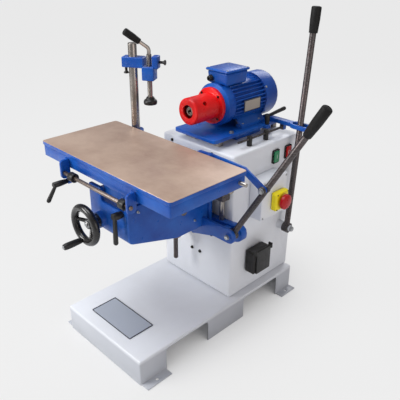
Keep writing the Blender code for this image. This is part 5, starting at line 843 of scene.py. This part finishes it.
place_all(cross_screw(0.0045), "zinc", body_of_node("fan_cowl"), "cowl_screw", [
    ((COWL_RADIUS * math.cos(angle), 0.695, MOTOR_AXIS_HEIGHT + COWL_RADIUS * math.sin(angle)),
     (math.cos(angle), 0, math.sin(angle)))
    for angle in (math.radians(degrees) for degrees in (30, 150, 270))
])
lid = FINISHED["terminal_lid"]
LID_TOP = max((lid.matrix_world @ vertex.co).z for vertex in lid.data.vertices)
place_all(cross_screw(0.0042), "zinc", body_of_node("terminal_lid"), "lid_screw", [
    ((side * 0.0415, y, LID_TOP), Z) for side in (-1, 1) for y in (0.5235, 0.6185)
])
BOX_FACE = 0.2263
place_all(cross_screw(0.0040), "zinc", "root", "switch_box_screw", [
    ((BOX_FACE, y, z), X) for y in (0.5165, 0.6315) for z in (0.4085, 0.5365)
])
place_all(cross_screw(0.0028), "black_zinc", "root", "stop_box_screw", [
    ((0.2506, 0.588 + a * 0.0275, 0.462 + b * 0.0275), X) for a in (-1, 1) for b in (-1, 1)
])
place_all(cross_screw(0.005), "zinc", "root", "rear_cover_screw", [
    ((x, COLUMN_BACK, z), Y) for x in (-0.156, 0.156) for z in (0.112, 0.282, 0.452, 0.623)
])

# Bare plates


def bare_plate(low, high, thickness, border, face_look, name):
    """A thin plate with a darker edge line round it and nothing on it."""
    plate = box((low[0], low[1], 0), (high[0], high[1], thickness), name)
    pick(plate, lambda edge: abs((edge.verts[0].co - edge.verts[1].co).z) > thickness / 2, "edges")
    bpy.ops.mesh.bevel(offset=border * 1.4, segments=4, affect="EDGES")
    leave()
    plate.data.materials.append(LOOK["line_dark"])
    plate.data.materials.append(LOOK[face_look])
    pick(plate, lambda face: face.normal.z > 0.9)
    bpy.ops.mesh.inset(thickness=border, depth=0)
    plate.active_material_index = 1
    bpy.ops.object.material_slot_assign()
    bpy.ops.mesh.inset(thickness=border * 0.5, depth=-thickness * 0.2)
    leave()
    smooth(plate, 30)
    return plate


PLATE_THICK = 0.0012
plinth_plate = bare_plate(
    (-0.104, -0.0495), (0.104, 0.0495), PLATE_THICK, 0.0022, "plate_grey", "plinth_plate"
)
put(plinth_plate, (-0.0135, 0.0905, PLINTH_TOP))
dress(plinth_plate, "plate_grey", "root")

RATING_MIDDLE = (0.0762, 0.6145, 0.7515)
pad = box((0.064, 0.577, 0.7345), (0.0762, 0.652, 0.7685), "rating_pad")
rounding(pad, 0.0015)
smooth(pad)
dress(pad, "blue_paint", body_of_node("motor_housing"))
rating_plate = bare_plate(
    (-0.0410, -0.0190), (0.0410, 0.0190), PLATE_THICK, 0.0016, "plate_tan", "rating_plate"
)
put(rating_plate, RATING_MIDDLE, X)
dress(rating_plate, "plate_tan", body_of_node("motor_housing"))
place_all(cross_screw(0.0022), "zinc", body_of_node("motor_housing"), "rating_rivet", [
    ((RATING_MIDDLE[0] + 0.0010, RATING_MIDDLE[1] + a * 0.0370, RATING_MIDDLE[2] + b * 0.0150), X)
    for a in (-1, 1) for b in (-1, 1)
])

# Cable gland, button frames and marks

gland = cylinder(0.0115, 0.006, 6, "cable_gland")
rounding(gland, 0.0008, 2, 25)
dome_outline = [(0, 0), (0.0095, 0), (0.0095, 0.007), (0.0085, 0.012)]
dome_outline += [(0.006, 0.0145), (0.0045, 0.0145), (0.0045, 0.009), (0, 0.009)]
dome = lathe(dome_outline, "gland_nut", 40)
only(gland)
dome.select_set(True)
bpy.ops.object.join()
smooth(gland, 35)
put(gland, (-0.026, 0.5195, 0.838), -Y)
dress(gland, "black_plastic", body_of_node("terminal_box"))

BUTTON_HEIGHT = 0.586
GREEN_BUTTON_Y = 0.636
RED_BUTTON_Y = 0.704
for word, y in (("green", GREEN_BUTTON_Y), ("red", RED_BUTTON_Y)):
    ring = box(
        (COLUMN_RIGHT - 0.0002, y - 0.0175, BUTTON_HEIGHT - 0.0245),
        (COLUMN_RIGHT + 0.0040, y + 0.0175, BUTTON_HEIGHT + 0.0245),
        f"{word}_button_frame",
    )
    pick(ring, lambda edge: abs((edge.verts[0].co - edge.verts[1].co).x) > 0.003, "edges")
    bpy.ops.mesh.bevel(offset=0.006, segments=5, affect="EDGES")
    leave()
    hole = box(
        (COLUMN_RIGHT - 0.01, y - 0.0135, BUTTON_HEIGHT - 0.0205),
        (COLUMN_RIGHT + 0.02, y + 0.0135, BUTTON_HEIGHT + 0.0205),
    )
    carved(ring, hole)
    rounding(ring, 0.0006, 2, 50)
    smooth(ring)
    dress(ring, "black_plastic", "root")
BUTTON_FACE = 0.1800
MARK_SINK = 0.0002
MARK_RISE = 0.0003
on_mark = box(
    (BUTTON_FACE - MARK_SINK, GREEN_BUTTON_Y - 0.0007, BUTTON_HEIGHT - 0.007),
    (BUTTON_FACE + MARK_RISE, GREEN_BUTTON_Y + 0.0007, BUTTON_HEIGHT + 0.007),
)
dress(on_mark, "mark_white", body_of_node("green_button"), "on_mark")
off_outline = [(0.0048, -MARK_SINK), (0.0062, -MARK_SINK), (0.0062, MARK_RISE)]
off_outline += [(0.0048, MARK_RISE), (0.0048, -MARK_SINK)]
off_mark = lathe(off_outline, "off_mark", 48)
put(off_mark, (BUTTON_FACE, RED_BUTTON_Y, BUTTON_HEIGHT), X)
dress(off_mark, "mark_white", body_of_node("red_button"))

# Camera, lights and floor

CAMERA_PLACE = Vector((1.17519, -0.73341, 1.26165))
CAMERA_YAW = math.radians(-44.888)
CAMERA_PITCH = math.radians(26.745)
CAMERA_ROLL = math.radians(0.547)
FOCAL_PIXELS = 528.88
FRAME_PIXELS = 400
SENSOR = 36

ahead = Vector((
    math.sin(CAMERA_YAW) * math.cos(CAMERA_PITCH),
    math.cos(CAMERA_YAW) * math.cos(CAMERA_PITCH),
    -math.sin(CAMERA_PITCH),
))
right = Vector((math.cos(CAMERA_YAW), -math.sin(CAMERA_YAW), 0))
up = right.cross(ahead)
rolled_right = right * math.cos(CAMERA_ROLL) + up * math.sin(CAMERA_ROLL)
rolled_up = up * math.cos(CAMERA_ROLL) - right * math.sin(CAMERA_ROLL)
camera = bpy.data.objects.new("camera", bpy.data.cameras.new("camera"))
bpy.context.scene.collection.objects.link(camera)
turned = Matrix((rolled_right, rolled_up, -ahead)).transposed().to_4x4()
camera.matrix_world = Matrix.Translation(CAMERA_PLACE) @ turned
camera.data.sensor_width = SENSOR
camera.data.lens = SENSOR * FOCAL_PIXELS / FRAME_PIXELS
camera.data.clip_end = 100
bpy.context.scene.camera = camera
bpy.context.scene.view_settings.view_transform = "Standard"


def lamp(name, place, target, size, power, tint):
    data = bpy.data.lights.new(name, "AREA")
    data.shape = "DISK"
    data.size = size
    data.energy = power
    data.color = tint
    obj = bpy.data.objects.new(name, data)
    bpy.context.scene.collection.objects.link(obj)
    aim = Vector(target) - Vector(place)
    obj.matrix_world = Matrix.Translation(Vector(place)) @ aim.to_track_quat("-Z", "Y").to_matrix().to_4x4()


MIDDLE = (0, 0.35, 0.5)
lamp("key", (-1.8, -2.8, 2.1), MIDDLE, 1.8, 100, (1.0, 0.99, 0.98))
lamp("overhead", (-0.5, -0.5, 3.3), MIDDLE, 2.2, 56, (0.96, 0.98, 1.0))
lamp("side fill", (3.0, 0.2, 1.2), MIDDLE, 2.2, 19, (1.0, 0.91, 0.86))
lamp("back rim", (-1.2, 3.2, 2.4), MIDDLE, 2.0, 30, (0.97, 0.98, 1.0))

world = bpy.data.worlds.new("studio")
bpy.context.scene.world = world
world.use_nodes = True
world_nodes = world.node_tree.nodes
world_links = world.node_tree.links
background = world_nodes["Background"]
path = world_nodes.new("ShaderNodeLightPath")
seen = world_nodes.new("ShaderNodeMath")
seen.operation = "MAXIMUM"
world_links.new(path.outputs["Is Camera Ray"], seen.inputs[0])
world_links.new(path.outputs["Is Transmission Ray"], seen.inputs[1])
world_mix = world_nodes.new("ShaderNodeMixRGB")
world_mix.inputs[1].default_value = (0.31, 0.31, 0.32, 1)
world_mix.inputs[2].default_value = linear(BACKDROP)
world_links.new(seen.outputs[0], world_mix.inputs[0])
world_links.new(world_mix.outputs[0], background.inputs["Color"])

bpy.ops.object.select_all(action="DESELECT")
bpy.ops.mesh.primitive_plane_add(size=40, location=(0, 0.4, -0.0002))
floor = bpy.context.object
floor.name = "floor"
settle(floor)
floor_look = bpy.data.materials.new("pale floor")
floor_look.use_nodes = True
floor_tree = floor_look.node_tree
floor_shader = floor_tree.nodes["Principled BSDF"]
floor_shader.inputs["Base Color"].default_value = (0.8, 0.8, 0.8, 1)
floor_shader.inputs["Roughness"].default_value = 0.9
glow = floor_tree.nodes.new("ShaderNodeEmission")
glow.inputs["Color"].default_value = linear(BACKDROP)
floor_mix = floor_tree.nodes.new("ShaderNodeMixShader")
floor_path = floor_tree.nodes.new("ShaderNodeLightPath")
share = floor_tree.nodes.new("ShaderNodeMath")
share.operation = "MULTIPLY"
near_things = floor_tree.nodes.new("ShaderNodeAmbientOcclusion")
near_things.inputs["Distance"].default_value = 0.35
open_share = floor_tree.nodes.new("ShaderNodeMapRange")
open_share.inputs["To Max"].default_value = 0.93
floor_tree.links.new(near_things.outputs["AO"], open_share.inputs["Value"])
floor_tree.links.new(open_share.outputs["Result"], share.inputs[1])
floor_tree.links.new(floor_path.outputs["Is Camera Ray"], share.inputs[0])
floor_tree.links.new(share.outputs[0], floor_mix.inputs["Fac"])
floor_tree.links.new(floor_shader.outputs[0], floor_mix.inputs[1])
floor_tree.links.new(glow.outputs[0], floor_mix.inputs[2])
floor_tree.links.new(floor_mix.outputs[0], floor_tree.nodes["Material Output"].inputs["Surface"])
floor.data.materials.append(floor_look)
